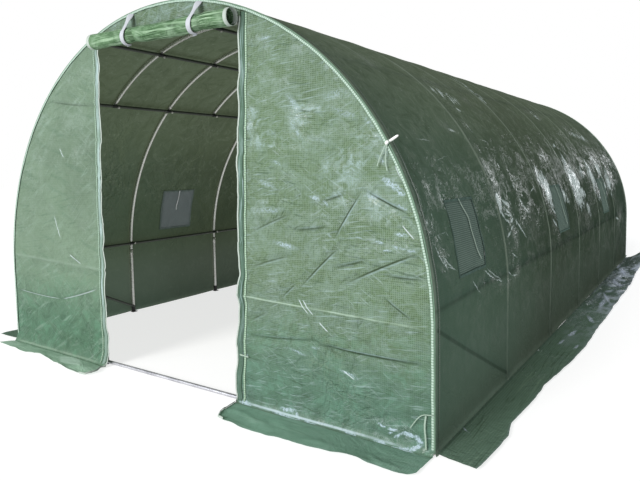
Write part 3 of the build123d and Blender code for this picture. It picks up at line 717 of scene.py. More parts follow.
GLINTS_SKIRT = [
    (3.1442, 3.1353, 3.0973, 0.2266, 0.0249, 0.7), (4.8574, 3.089, 2.9526, 0.3357, 0.0373, 0.8), (4.127, 3.1266, 2.813, 0.1949, 0.048, 0.7),
    (2.5793, 3.1405, 2.8427, 0.1469, 0.0233, 0.6), (2.125, 3.103, -3.0999, 0.1246, 0.0196, 0.7), (1.8777, 3.0816, -3.0675, 0.09, 0.0131, 0.5),
    (1.8046, 3.1781, 3.129, 0.0818, 0.0137, 0.5), (3.4002, 3.1345, 2.9124, 0.3124, 0.0185, 0.6), (5.0787, 3.1622, -3.0183, 0.1224, 0.0328, 0.6),
    (0.2768, 3.019, 2.3557, 0.0468, 0.0082, 0.3), (5.2083, 3, -3.1339, 0.2005, 0.0364, 0.5),
]
BRACES = []
for a_, b_ in ((0.016, 1.0), (5.984, 5.0)):
    for s_ in (-1, 1):
        BRACES.append((a_, 3.0 + s_ * (S_GROUND - 0.502), b_, 3.0 + s_ * (S_GROUND - 0.045), 0.008))
CREASES_R = [
    (1.192, 1.037, 1.054, 0.830), (1.090, 0.806, 0.876, 0.605), (0.856, 0.622, 0.776, 0.551), (1.205, 1.042, 1.404, 0.945),
    (1.455, 0.802, 1.100, 0.641), (0.836, 0.936, 0.604, 0.842), (0.831, 0.746, 0.598, 0.676), (1.000, 0.995, 1.106, 1.026),
    (0.970, 0.366, 1.454, 0.359), (0.588, 0.348, 0.970, 0.383), (0.696, 0.472, 0.582, 0.416), (1.285, 0.608, 1.403, 0.531),
    (1.193, 0.503, 1.157, 0.455), (0.848, 0.864, 1.030, 0.889), (1.052, 0.712, 1.207, 0.755), (1.297, 0.697, 1.455, 0.695),
]
# scuffs drawn as pale lines in the highlight colour: painted highlights
SCUFF_HIGHLIGHTS_R = [(0.868, 0.556, 0.920, 0.489), (0.890, 0.556, 0.945, 0.487), (0.972, 0.462, 1.022, 0.425), (1.092, 0.271, 1.150, 0.239),
           (1.338, 1.140, 1.380, 1.061), (1.367, 0.905, 1.420, 0.848)]
CREASES_L = [(-1.464, 0.363, -0.959, 0.350), (-0.959, 0.350, -0.585, 0.453), (-0.988, 1.596, -0.546, 1.530), (-0.857, 0.658, -0.739, 0.591)]
SCUFF_HIGHLIGHTS_L = [(-0.994, 0.881, -0.935, 0.735), (-0.857, 0.640, -0.790, 0.612), (-0.800, 0.615, -0.739, 0.591), (-0.90, 1.30, -0.86, 1.24)]
CR_AMT = [1.0, 0.9, 0.6, 0.9, 0.9, 0.55, 0.6, 0.6, 0.85, 0.40, 0.4, 0.6, 0.3, 0.5, 0.5, 0.6]
DRAW_R = [(a_, b_, c_, d_, 0.0038, k_) for (a_, b_, c_, d_), k_ in zip(CREASES_R, CR_AMT)] + [(a_, b_, c_, d_, 0.0030, -0.75) for (a_, b_, c_, d_) in SCUFF_HIGHLIGHTS_R]
DRAW_L = [(a_, b_, c_, d_, 0.0042, -0.50 if k_ < 2 else 0.40) for k_, (a_, b_, c_, d_) in enumerate(CREASES_L)] + [(a_, b_, c_, d_, 0.0030, -0.70) for (a_, b_, c_, d_) in SCUFF_HIGHLIGHTS_L]
M_ROOF = film("film_roof", (0.0225, 0.042, 0.0315), (0.28, 0.34, 0.27), THROUGH, share=0.20, weave=0.10, gloss=1.0, crinkle=0.7, lines_at=BRACES, spec=0.0, coat_rough=0.085,
              crest=((0.116, 0.146, 0.104), 0.85, 2.05, 0.80), near=((0.076, 0.134, 0.101), 0.7, 2.5, 0.90),
              strokes=GLINTS_ROOF, stroke_col=(0.76, 0.88, 0.88), wobble=0.026, broad=True)
M_FRONT = film("film_gable", (0.076, 0.134, 0.062), (0.28, 0.37, 0.28), (0.26, 0.33, 0.20), share=0.20, weave=1.15, pitch=0.0086, gloss=0.7, crinkle=0.6, bump=1.0, spec=0.05,
               glare=(0.34, 0.455, 0.49), glare_amt=0.70, strokes=GLINTS_FRONT, stroke_col=(0.44, 0.56, 0.65), wobble=0.026, creases=DRAW_R, low=((0.070, 0.150, 0.114), 0.10, 0.60, 0.85), fine_mott=34.0,
               bar=((0.53, 1.46, 0.553, -0.035, 0.0034, 0.62, (0.40, 0.52, 0.42)), (0.52, 1.40, 0.0125, 0.0, 0.0044, 0.85, (0.46, 0.57, 0.62))),
               scratches_and_wrinkle_shading=((0.10, 0.13, 0.010, 0.57, 0.68, 0.42, (0.36, 0.47, 0.49)), (-0.14, 0.15, 0.010, 0.57, 0.68, 0.55, (0.035, 0.070, 0.042)), (0.45, 0.11, 0.009, 0.60, 0.70, 0.32, (0.36, 0.46, 0.48)),
                      (0.85, 0.12, 0.009, 0.60, 0.70, 0.35, (0.040, 0.080, 0.048)), (-0.60, 0.12, 0.010, 0.61, 0.70, 0.30, (0.36, 0.46, 0.46))))
M_REAR = film("film_gable_rear", (0.076, 0.134, 0.062), (0.28, 0.37, 0.28), (0.26, 0.33, 0.20), share=0.20, weave=1.15, pitch=0.0086, gloss=0.7, crinkle=0.8, bump=1.0, spec=0.05,
              glare=(0.34, 0.455, 0.49), glare_amt=0.70, fine_mott=34.0, low=((0.070, 0.150, 0.114), 0.10, 0.60, 0.85),
              scratches_and_wrinkle_shading=((0.10, 0.13, 0.010, 0.57, 0.68, 0.42, (0.36, 0.47, 0.49)), (-0.14, 0.15, 0.010, 0.57, 0.68, 0.55, (0.035, 0.070, 0.042)), (0.85, 0.12, 0.009, 0.60, 0.70, 0.35, (0.040, 0.080, 0.048))))
M_FRONT2 = film("film_gable_left", (0.128, 0.192, 0.130), (0.33, 0.42, 0.36), (0.26, 0.33, 0.20), share=0.20, weave=0.35, gloss=0.5, crinkle=1.0, bump=0.8, spec=0.05,
                glare=(0.25, 0.33, 0.28), glare_amt=0.40, creases=DRAW_L, low=((0.060, 0.138, 0.090), 0.15, 0.66, 0.85), fine_mott=30.0,
                bar=((-1.47, -0.54, 0.0125, 0.0, 0.0050, 0.34, (0.32, 0.41, 0.33)),),
                scratches_and_wrinkle_shading=((0.75, 0.24, 0.0065, 0.60, 0.70, 0.26, (0.34, 0.44, 0.40)), (-0.60, 0.24, 0.0065, 0.60, 0.70, 0.24, (0.34, 0.44, 0.40)), (1.25, 0.20, 0.0065, 0.63, 0.70, 0.20, (0.36, 0.46, 0.42)),
                       (0.15, 0.20, 0.016, 0.56, 0.68, 0.42, (0.07, 0.13, 0.085)), (-0.35, 0.24, 0.040, 0.52, 0.66, 0.34, (0.085, 0.150, 0.100)), (0.50, 0.20, 0.030, 0.55, 0.68, 0.30, (0.27, 0.37, 0.31))))
M_SKIRT = film("film_skirt", (0.036, 0.062, 0.056), (0.48, 0.54, 0.64), (0.16, 0.24, 0.12), share=0.08, weave=0.20, gloss=0.9, crinkle=0.4, spec=0.0, coat_rough=0.12,
               glare=(0.30, 0.36, 0.38), glare_amt=0.12, glint_col=(0.62, 0.66, 0.78), strokes=GLINTS_SKIRT, stroke_col=(0.64, 0.70, 0.88), wobble=0.03, near=((0.082, 0.145, 0.097), 2.4, 5.0, 0.95),
               scratches_and_wrinkle_shading=((0.02, 0.45, 0.016, 0.54, 0.66, 0.50, (0.16, 0.24, 0.175)), (-0.05, 0.40, 0.014, 0.54, 0.66, 0.60, (0.030, 0.056, 0.036)), (0.35, 0.16, 0.012, 0.58, 0.68, 0.35, (0.18, 0.26, 0.20))))
M_SKIRTF = film("film_skirt_front", (0.156, 0.300, 0.222), (0.50, 0.62, 0.60), (0.20, 0.28, 0.16), share=0.08, weave=0.25, gloss=0.35, crinkle=0.5, bump=0.5, spec=0.03,
                glare=(0.30, 0.40, 0.36), glare_amt=0.20, strokes=GLINTS_SKIRTF, stroke_col=(0.62, 0.72, 0.76),
                scratches_and_wrinkle_shading=((0.05, 0.30, 0.016, 0.56, 0.68, 0.40, (0.27, 0.40, 0.32)), (-0.10, 0.30, 0.014, 0.56, 0.68, 0.50, (0.07, 0.14, 0.095))))
M_SKIRTL = film("film_skirt_left", (0.300, 0.470, 0.345), (0.60, 0.74, 0.66), (0.20, 0.28, 0.16), share=0.08, weave=0.25, gloss=0.35, crinkle=0.7, bump=0.6, spec=0.03,
                glare=(0.42, 0.58, 0.48), glare_amt=0.35,
                scratches_and_wrinkle_shading=((0.05, 0.25, 0.016, 0.56, 0.68, 0.45, (0.50, 0.66, 0.56)), (-0.15, 0.25, 0.014, 0.56, 0.68, 0.50, (0.13, 0.25, 0.16))))
M_ROLL = film("film_roll", (0.066, 0.142, 0.062), (0.30, 0.42, 0.30), (0.16, 0.26, 0.10), share=0.06, weave=0.35, gloss=0.5, crinkle=0.5, spec=0.05,
              glare=(0.20, 0.32, 0.19), glare_amt=0.60, pitch=0.009, fine_mott=30.0,
              scratches_and_wrinkle_shading=((0.03, 0.30, 0.010, 0.50, 0.60, 0.80, (0.32, 0.46, 0.31)), (-0.06, 0.28, 0.008, 0.50, 0.60, 0.85, (0.018, 0.050, 0.018)), (0.30, 0.10, 0.008, 0.57, 0.67, 0.50, (0.28, 0.42, 0.28))))
M_GALV = steel("galvanised", (0.60, 0.605, 0.585), (0.52, 0.51, 0.48), metallic=0.80, rough=0.30)
M_SILL = steel("sill_tube", (0.50, 0.50, 0.53), (0.26, 0.26, 0.29), metallic=0.60, rough=0.34)
# near-black tube colour: painted shade, for tubes that stand in shadow
M_SHADED_TUBE = steel("dark_tube", (0.050, 0.058, 0.048), (0.032, 0.038, 0.032), metallic=0.25, rough=0.50)
M_BLACK = plastic("black_plastic", (0.012, 0.013, 0.013))
M_WHITE = webbing("white_tape", (0.62, 0.65, 0.70))
M_TIE = webbing("tie_tape", (0.40, 0.52, 0.43))
M_HEM = webbing("white_hem", (0.56, 0.64, 0.58), pitch=0.004, dark=0.55)
M_PIPE = stitched("piping", (0.13, 0.22, 0.15), (0.36, 0.47, 0.40), pitch=0.011, row=(0.0036, 0.0058))
M_SEAM = stitched("seam", (0.12, 0.20, 0.13), (0.30, 0.42, 0.31), pitch=0.011, row=(0.0036, 0.0056))
M_SEAML = stitched("seam_left", (0.15, 0.23, 0.16), (0.24, 0.34, 0.26), pitch=0.011, row=(0.0036, 0.0056))
M_SEAM2 = stitched("band_seam", (0.050, 0.085, 0.056), (0.085, 0.125, 0.090), pitch=0.009)
M_BORDER = stitched("window_border", (0.098, 0.152, 0.128), (0.27, 0.37, 0.35), pitch=0.016, row=(0.0022, 0.0040), spec=0.0)
M_BORDER_IN = stitched("window_border_inside", (0.10, 0.145, 0.130), (0.26, 0.34, 0.36), pitch=0.020, row=(0.0030, 0.0050))
# the window tapes seen from inside are painted a brighter white than the straps: painted light where the lamps reach
# them dimly
M_TAPE_IN = webbing("window_tape", (0.85, 0.88, 0.90))
M_ZIPL = film("zip_band_left", (0.150, 0.225, 0.170), (0.48, 0.60, 0.60), (0.2, 0.28, 0.2), share=0.05, weave=0.35, gloss=0.4, crinkle=0.5, spec=0.05, pitch=0.007,
              scratches_and_wrinkle_shading=((0.0, 0.40, 0.0045, 0.45, 0.55, 0.65, (0.50, 0.62, 0.66)),))
M_ZIP = film("zip_band", (0.058, 0.110, 0.074), (0.20, 0.30, 0.25), (0.2, 0.28, 0.2), share=0.05, weave=0.6, gloss=0.4, crinkle=0.5, spec=0.05, pitch=0.007,
              scratches_and_wrinkle_shading=((0.0, 0.16, 0.006, 0.50, 0.60, 0.60, (0.34, 0.45, 0.46)), (0.05, 0.10, 0.005, 0.54, 0.62, 0.55, (0.03, 0.065, 0.04))))


# ------------------------------------------------------------------ CAD nodes that stay, with better finishes
MAT_OF = {}
for nm in frame["nodes"]:
    if nm.endswith("_sill_bar"):
        MAT_OF[nm] = M_SILL
    elif nm.endswith("_hoop") or nm.startswith("hoop_") and nm != "hoop_feet" or nm == "half_arches":
        MAT_OF[nm] = M_GALV
    # purlins, braces, posts and gable bars take the near-black painted shade
    elif "purlin" in nm or "brace" in nm or nm.endswith("_posts") or nm.endswith("_gable_bars"):
        MAT_OF[nm] = M_SHADED_TUBE
    elif nm.endswith("_feet"):
        MAT_OF[nm] = M_BLACK
for nm, mt in MAT_OF.items():
    o = frame["nodes"][nm] if isinstance(frame["nodes"], dict) else bpy.data.objects[nm]
    for sl in o.material_slots:
        sl.link = "OBJECT"
        sl.material = mt


# ------------------------------------------------------------------ the cover, as one function of place
def cover_base(Y, S, off=0.0):
    """Point and outward direction at S metres round from the ridge, positive to the right."""
    S = np.asarray(S, float)
    a = np.clip(S, -S_SPRING, S_SPRING) / R
    nx, nz = np.sin(a), np.cos(a)
    down = np.maximum(np.abs(S) - S_SPRING, 0)
    x = nx * R
    z = LEG + nz * R - down
    nz = np.where(down > 0, 0.0, nz)
    return x, z, nx, nz


def tri_wave(Y, ys):
    """Distance from the nearest of the lines ys."""
    Y = np.asarray(Y, float)
    d = np.full(Y.shape, 1e9)
    for y in ys:
        d = np.minimum(d, np.abs(Y - y))
    return d


ALL_Y = sorted(HOOP_Y + HALF_Y)
rng_cover = np.random.RandomState(11)


def cover_height(Y, S):
    """How far the film stands in or out of the true half circle."""
    Y, S = np.broadcast_arrays(np.asarray(Y, float), np.asarray(S, float))
    aS = np.abs(S)
    dh = tri_wave(Y, HOOP_Y)
    da = tri_wave(Y, ALL_Y)
    bay = 0.5
    sag_wall = 0.010 * (1 - np.exp(-dh / 0.13)) - 0.0
    sag_roof = 0.0022 * (1 - np.exp(-da / 0.09))
    k = smooth(1.02, 1.30, aS)
    h = -(sag_roof * (1 - k) + sag_wall * k)
    h = h + 0.0012 * np.exp(-(dh / 0.012) ** 2)
    # soft undulation, and creases that are strongest on the haunches
    haunch = np.exp(-((aS - 1.95) / 0.55) ** 2)
    amp = 0.0008 + 0.0008 * smooth(0.7, 1.3, aS) + 0.0060 * haunch
    pin = 1 - 0.85 * np.exp(-(dh / 0.05) ** 2)
    h = h + amp * pin * fbm(Y * 2.1 + 0.35 * S, S * 2.6, 5, 4)
    h = h + 0.0022 * pin * fbm(Y * 7.0, S * 7.5, 23, 3) * (0.12 + haunch)
    h = h + FOLD_FIELD(Y, S) * pin
    # slack near the foot
    foot = smooth(2.55, 2.80, aS)
    h = h + 0.004 * foot * vnoise(Y * 5.0, S * 3.0, 77)
    return h


def FOLD_FIELD(Y, S):
    out = folds(Y, S, 200, 3, (-3, 3, -2.6, 2.6), (0.04, 0.20), (0.010, 0.026), (0.0004, 0.0016)) * (1 - 0.7 * smooth(2.26, 2.32, np.abs(S)))
    # diagonal pulls from the shoulder purlins to the hoops
    for sg in (-1, 1):
        out = out + folds(Y, S, 210, 41 + sg, (-3, 3, *sorted((sg * 1.35, sg * 2.30))), (0.06, 0.24), (0.012, 0.030), (0.0016, 0.0048))
        out = out + folds(Y, S, 60, 61 + sg, (-3, 3, *sorted((sg * 1.5, sg * 2.2))), (0.12, 0.34), (0.014, 0.030), (0.002, 0.005), angle=sg * 0.9, spread=0.9)
    return out


def ground_flare(aS):
    """Near the ground the wall turns outward into the skirt."""
    t = np.clip((aS - (S_GROUND - 0.035)) / 0.035, 0, 1)
    return 0.010 * t * t


def cover_xyz(Y, S, off=0.0):
    x, z, nx, nz = cover_base(Y, S)
    h = cover_height(Y, S) + off
    out = ground_flare(np.abs(S))
    return np.stack([x + nx * h + np.sign(S) * out, np.broadcast_to(Y, x.shape) + 0 * x, z + nz * h], axis=-1)


def lines_from(lo, hi, step, dense, dense_half, dense_step, exact=()):
    """Grid lines from lo to hi, closer together near the places in dense."""
    pts = [lo, hi, *exact]
    t = lo
    while t < hi:
        pts.append(t)
        near = min((abs(t - d) for d in dense), default=9)
        t += dense_step if near < dense_half else min(step, max(dense_step, near - dense_half + dense_step))
    pts = sorted(set(round(p, 5) for p in pts if lo <= p <= hi))
    fixed = set(round(p, 5) for p in (lo, hi, *exact))
    out = [pts[0]]
    for p in pts[1:]:
        if p - out[-1] < 0.35 * dense_step:
            if p in fixed and out[-1] not in fixed:
                out[-1] = p
            elif p in fixed:
                out.append(p)
        else:
            out.append(p)
    return np.array(out)


win_y = sorted(set([y + e for y in WIN_RIGHT + WIN_LEFT for e in (-WIN_HALF, WIN_HALF)]))
s_head, s_sill = S_SPRING - WIN_S[1], S_SPRING - WIN_S[0]
ys = lines_from(Y0, Y1, 0.026, HOOP_Y, 0.030, 0.0075, exact=win_y)
PURLIN_S = [0.0] + [sg * v for sg in (-1, 1) for v in (math.radians(19.7) * R, math.radians(41.4) * R, S_SPRING - 0.0701)]
ss = lines_from(-S_GROUND, S_GROUND, 0.023, [-S_GROUND, S_GROUND] + PURLIN_S, 0.020, 0.009, exact=[-s_head, -s_sill, s_head, s_sill, *PURLIN_S])
YY, SS = np.meshgrid(ys, ss, indexing="ij")
P = cover_xyz(YY, SS)
# the film is drawn tight over the first and last hoops
# cut the window openings out of the cover's faces
yc = (ys[:-1] + ys[1:]) / 2
sc = (ss[:-1] + ss[1:]) / 2
YC, SC = np.meshgrid(yc, sc, indexing="ij")
hole = np.zeros(YC.shape, bool)
for yw in WIN_RIGHT:
    hole |= (np.abs(YC - yw) < WIN_HALF) & (SC > s_head) & (SC < s_sill)
for yw in WIN_LEFT:
    hole |= (np.abs(YC - yw) < WIN_HALF) & (SC < -s_head) & (SC > -s_sill)
F = grid_faces(len(ys), len(ss), ~hole)
dh = tri_wave(YY, HOOP_Y)
dhalf = tri_wave(YY, HALF_Y)
aS = np.abs(SS)
# painted highlight along the film's ridge over each hoop and half arch
ridge = (1 - smooth(0.0095, 0.0200, dh)) * (0.60 + 0.20 * vnoise(YY * 0 + 3, SS * 6, 9))
ridge = ridge + 0.34 * (1 - smooth(0.0100, 0.0220, dhalf)) * (1 - smooth(1.06, 1.11, aS))
ridge = ridge + (0.16 * np.exp(-(dhalf / 0.050) ** 2) * (1 - smooth(1.04, 1.12, aS)) + 0.10 * np.exp(-(dh / 0.050) ** 2) * (1 - smooth(1.2, 1.8, aS))) * (aS > 0.25)
ridge = ridge * (1 - 0.30 * smooth(2.35, 2.8, aS))
# where the cover is crumpled and catches the light: place along, girth, half-lengths, strength
BLOBS = [
    (-2.91, 1.97, 0.035, 0.10, 0.8), (-2.84, 2.10, 0.040, 0.07, 0.9), (-2.66, 1.86, 0.05, 0.03, 0.4), (-2.80, 1.76, 0.04, 0.05, 0.4),
    (-2.25, 2.262, 0.15, 0.022, 0.9), (-2.02, 2.325, 0.10, 0.022, 1.0), (-1.80, 2.300, 0.07, 0.030, 0.8), (-2.42, 2.34, 0.04, 0.06, 0.5),
    (-1.89, 1.93, 0.055, 0.22, 0.95), (-1.76, 2.05, 0.09, 0.15, 0.85), (-1.45, 2.00, 0.13, 0.20, 0.50), (-1.22, 2.06, 0.09, 0.12, 0.35), (-1.50, 1.76, 0.10, 0.05, 0.5), (-1.90, 2.25, 0.05, 0.08, 0.6),
    (-0.90, 1.83, 0.06, 0.14, 1.0), (-0.78, 1.98, 0.08, 0.20, 0.9), (-0.45, 1.96, 0.17, 0.14, 0.50), (-0.50, 1.62, 0.11, 0.05, 0.4), (-0.70, 2.18, 0.06, 0.07, 0.4),
    (0.10, 1.92, 0.09, 0.20, 1.0), (0.32, 1.80, 0.13, 0.18, 0.9), (0.52, 2.10, 0.20, 0.12, 0.45), (0.85, 1.75, 0.15, 0.11, 0.5),
    (1.35, 1.90, 0.28, 0.20, 1.0), (1.70, 1.66, 0.24, 0.11, 0.8), (2.30, 1.85, 0.25, 0.20, 0.9), (2.60, 1.68, 0.20, 0.10, 0.8), (2.50, 2.30, 0.20, 0.10, 0.4),
    (-1.80, 1.31, 0.10, 0.05, 0.6), (-1.38, 1.19, 0.10, 0.05, 0.5), (-2.17, 1.47, 0.12, 0.04, 0.45), (-1.72, 1.09, 0.12, 0.05, 0.45), (-1.20, 0.99, 0.20, 0.05, 0.4),
    (-1.25, 1.30, 0.12, 0.04, 0.45), (-1.85, 1.43, 0.06, 0.05, 0.6), (-2.55, 1.55, 0.10, 0.04, 0.4), (-0.42, 1.65, 0.10, 0.05, 0.45), (-1.67, 1.69, 0.06, 0.04, 0.4),
    (-1.20, 1.50, 0.06, 0.04, 0.35), (0.50, 1.13, 0.30, 0.08, 0.4), (-2.45, 1.05, 0.12, 0.05, 0.3), (1.6, 1.25, 0.3, 0.10, 0.3)]
shine = 0 * YY
Ym = np.where(SS > 0, YY, -YY)
for by_, bs_, wy_, ws_, am_ in BLOBS:
    d2 = ((Ym - by_) / wy_) ** 2 + ((aS - bs_) / ws_) ** 2
    shine = np.maximum(shine, am_ * np.exp(-d2))
shine = np.clip(1.30 * shine + 0.03 * np.exp(-((aS - 1.8) / 0.4) ** 2), 0, 1.4)
crk = 0.22 * np.exp(-((aS - 1.80) / 0.42) ** 2) + 0.85 * np.clip(shine, 0, 1) + 0.06
crk = crk * (1 - 0.8 * smooth(2.36, 2.42, aS)) + 0.35 * smooth(2.80, 2.85, aS)
glint = 0.10 * shine * (SS > 0) * (aS < 2.5)
shine = np.where(SS > 0, 0.55 * shine, 0.25 * shine)
dp = tri_wave(SS, PURLIN_S)
shade = np.exp(-(dp / 0.010) ** 2) * np.where(aS > 2.0, 0.42, 0.08)
V, F2, UVc, rg, sh, sd, ck, gk = compact(P.reshape(-1, 3), F, np.stack([YY.ravel() + 3.0, SS.ravel() + 3.0], axis=1), ridge.ravel(), shine.ravel(), shade.ravel(), crk.ravel(), glint.ravel())
cover = obj_from("film_cover", V, F2, [M_ROOF], uv=UVc, attrs={"ridge": rg, "shine": sh, "shade": sd, "crinkle": ck, "glint": gk})
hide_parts("cover_wall_left", "cover_wall_right", "cover_band_left", "cover_band_right", "cover_shoulder_left",
            "cover_shoulder_right", "cover_crown_left", "cover_crown_right")


# ------------------------------------------------------------------ windows: screens, border tape, tie
def mesh_screen(name, c0, c1, ct, share):
    n = Nodes(name)
    uv = n.uv()
    x, y, _ = n.split(uv)
    a = n.math("PINGPONG", n.math("MULTIPLY", x, 1 / 0.009), 0.5)
    b = n.math("PINGPONG", n.math("MULTIPLY", y, 1 / 0.009), 0.5)
    thread = n.math("MAXIMUM", n.ramp(a, 0.10, 0.22, 1.0, 0.0), n.ramp(b, 0.12, 0.26, 1.0, 0.0))
    cloud = n.noise(uv, 6.0, 3.0, 0.6)
    col = n.mix(n.ramp(cloud, 0.35, 0.7), rgba(*c0), rgba(*c1))
    col = n.mix(n.math("MULTIPLY", thread, 0.50), col, rgba(*ct))
    bs = n.principled(Base_Color=col, Roughness=0.6, Normal=n.bump(thread, 0.5, 0.0008))
    bs.inputs["Specular IOR Level"].default_value = 0.0
    tr = n.new("ShaderNodeBsdfTranslucent")
    n.put(tr.inputs["Color"], n.mix(thread, rgba(0.15, 0.17, 0.17), rgba(0.26, 0.28, 0.30)))
    mx = n.new("ShaderNodeMixShader")
    mx.inputs[0].default_value = share
    n.t.links.new(bs.outputs[0], mx.inputs[1])
    n.t.links.new(tr.outputs[0], mx.inputs[2])
    return n.done(mx.outputs[0])


M_MESH = mesh_screen("insect_mesh", (0.040, 0.066, 0.050), (0.060, 0.092, 0.072), (0.15, 0.19, 0.19), 0.30)
M_MESHR = mesh_screen("insect_mesh_sunny", (0.058, 0.098, 0.073), (0.080, 0.126, 0.096), (0.25, 0.325, 0.295), 0.12)


def merge(name, chunks, mats, **kw):
    V, F, UV, MI, n = [], [], [], [], 0
    for v, f, uv, mi in chunks:
        V.append(v)
        F.append(f + n)
        UV.append(uv)
        MI.append(np.full(len(f), mi))
        n += len(v)
    return obj_from(name, np.vstack(V), np.vstack(F), mats, uv=np.vstack(UV), face_mat=np.concatenate(MI), **kw)


def patch_on_cover(y0, y1, s0, s1, ny, ns, off, mi=0, wave=0.0, seed=0):
    a, b = np.meshgrid(np.linspace(y0, y1, ny), np.linspace(s0, s1, ns), indexing="ij")
    o = off if not wave else off + wave * fbm(a * 9, b * 9, seed, 3)
    p = cover_xyz(a, b, o)
    return p.reshape(-1, 3), grid_faces(ny, ns), np.stack([a.ravel() + 3, b.ravel() + 3], axis=1), mi


for side, sg, wins in (("right", 1, WIN_RIGHT), ("left", -1, WIN_LEFT)):
    screens, borders = [], []
    for k, yw in enumerate(wins):
        sa, sb = sorted((sg * s_head, sg * s_sill))
        screens.append(patch_on_cover(yw - WIN_HALF - 0.006, yw + WIN_HALF + 0.006, sa - 0.006, sb + 0.006, 30, 28, -0.0016, wave=0.0015, seed=k))
        bw = 0.012
        lift = 0.0016
        borders.append(patch_on_cover(yw - WIN_HALF - bw * 0.6, yw - WIN_HALF + bw * 0.4, sa - bw * 0.6, sb + bw * 0.6, 4, 34, lift))
        borders.append(patch_on_cover(yw + WIN_HALF - bw * 0.4, yw + WIN_HALF + bw * 0.6, sa - bw * 0.6, sb + bw * 0.6, 4, 34, lift))
        borders.append(patch_on_cover(yw - WIN_HALF, yw + WIN_HALF, sa - bw * 0.6, sa + bw * 0.4, 34, 4, lift + 0.0003))
        borders.append(patch_on_cover(yw - WIN_HALF, yw + WIN_HALF, sb - bw * 0.4, sb + bw * 0.6, 34, 4, lift + 0.0003))
        for (ya_, yb_, sa_, sb_, na_, nb_) in ((yw - WIN_HALF - bw * 0.6, yw - WIN_HALF + bw * 0.6, sa - bw * 0.6, sb + bw * 0.6, 4, 34),
                                                (yw + WIN_HALF - bw * 0.6, yw + WIN_HALF + bw * 0.6, sa - bw * 0.6, sb + bw * 0.6, 4, 34),
                                                (yw - WIN_HALF, yw + WIN_HALF, sa - bw * 0.6, sa + bw * 0.6, 34, 4),
                                                (yw - WIN_HALF, yw + WIN_HALF, sb - bw * 0.6, sb + bw * 0.6, 34, 4)):
            borders.append(patch_on_cover(ya_, yb_, sa_, sb_, na_, nb_, -0.0042, mi=1))
    o = merge(f"screens_{side}", screens, [M_MESHR if sg > 0 else M_MESH])
    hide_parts(f"window_screens_{side}")
    o = merge(f"window_borders_{side}", borders, [M_BORDER, M_BORDER_IN])
    tapes = []
    for k, yw in enumerate(wins):
        rng = np.random.RandomState(50 + k + (9 if sg < 0 else 0))
        ctrl_y = [yw - 0.01, yw + 0.012, yw + 0.045, yw + 0.05, yw + 0.075, yw + 0.105]
        ctrl_s = [s_head - 0.004, s_head + 0.05, s_head + 0.10, s_head + 0.17, s_head + 0.25, s_head + 0.29]
        if sg < 0:
            ctrl_y = [yw + 0.0, yw + 0.002, yw - 0.002, yw - 0.008, yw - 0.006]
            ctrl_s = [s_head - 0.004, s_head + 0.04, s_head + 0.08, s_head + 0.13, s_head + 0.17]
        c = spline(np.stack([ctrl_y, ctrl_s], axis=1), 60)
        y, s = c[:, 0], sg * c[:, 1]
        off = 0.0035 + 0.0015 * np.sin(np.linspace(0, 9, 60))
        if sg < 0:
            off = off - 0.010
        path = cover_xyz(y, s, off)
        bx, bz, nx, nz = cover_base(y, s)
        N = np.stack([nx, 0 * nx, nz], axis=1) * (1 if sg > 0 else -1)
        tapes.append((path, N))
    vs, fs, uvs, n0 = [], [], [], 0
    for path, N in tapes:
        T = np.gradient(path, axis=0)
        T /= np.linalg.norm(T, axis=1, keepdims=True)
        B = np.cross(N, T)
        B /= np.linalg.norm(B, axis=1, keepdims=True)
        cols = np.array([-0.5, -0.25, 0, 0.25, 0.5])
        w = 0.008 if sg > 0 else 0.011
        ln = np.concatenate([[0], np.cumsum(np.linalg.norm(np.diff(path, axis=0), axis=1))])
        v = np.stack([path + B * w * c + N * 0.0008 * (1 - abs(2 * c)) for c in cols], axis=1).reshape(-1, 3)
        vs.append(v)
        fs.append(grid_faces(len(path), 5) + n0)
        uvs.append(np.stack([np.stack([ln, np.full(len(path), c * w)], axis=1) for c in cols], axis=1).reshape(-1, 2))
        n0 += len(v)
    o = obj_from(f"window_tapes_{side}", np.vstack(vs), np.vstack(fs), [M_TIE if sg > 0 else M_TAPE_IN], uv=np.vstack(uvs))
    thicken(o, 0.0008, 1.0)
    if side == "right":
        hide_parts("window_ties")

# ------------------------------------------------------------------ gable panels with their skirts
R_EDGE = 1.4985
LEAN = math.radians(2.0)      # the sheet was put on with a slight twist, so the door parts lean


def leaned(x, z):
    """Turn a point of the gable clockwise about the centre of the arch."""
    c, s_ = math.cos(LEAN), math.sin(LEAN)
    return x * c + (z - LEG) * s_, LEG + (z - LEG) * c - x * s_


def bar_line(x):
    return 0.553 - 0.035 * x


def gable_field(X, Z, side):
    """Outward stand of a gable panel at x, z: undulation, the bar behind it, and creases."""
    h = 0.0045 * fbm(X * 2.4 + 3, Z * 1.9, 130 if side > 0 else 170, 4)
    h = h + 0.0018 * fbm(X * 9, Z * 8, 190 + side, 3)
    ZB = Z - bar_line(X)
    h = h + 0.0040 * np.exp(-(ZB / 0.011) ** 2) - 0.0040 * np.exp(-((ZB + 0.045) / 0.035) ** 2)
    for c in (CREASES_R if side > 0 else CREASES_L):
        h = h + crease(X, Z, c[:2], c[2:], 0.010, 0.0085)
    at = np.sign(np.mean(X))
    lo, hi = sorted((0.5 * at, 1.5 * at))
    h = h + folds(X, Z, 190, 7 + side, (lo, hi, 0.05, 1.85), (0.025, 0.13), (0.0055, 0.013), (0.0008, 0.0028), angle=0.30 * np.sign(side), spread=1.5)
    h = h + folds(X, Z, 60, 27 + side, (lo, hi, 0.60, 1.35), (0.05, 0.16), (0.006, 0.011), (0.0015, 0.0034), angle=0.12, spread=0.5)
    edge = np.minimum(R_EDGE - np.hypot(X, np.maximum(Z - LEG, 0)), 1)
    edge = np.where(Z < LEG, np.minimum(R_EDGE - np.abs(X), edge), edge)
    return h * smooth(0.0, 0.06, edge)


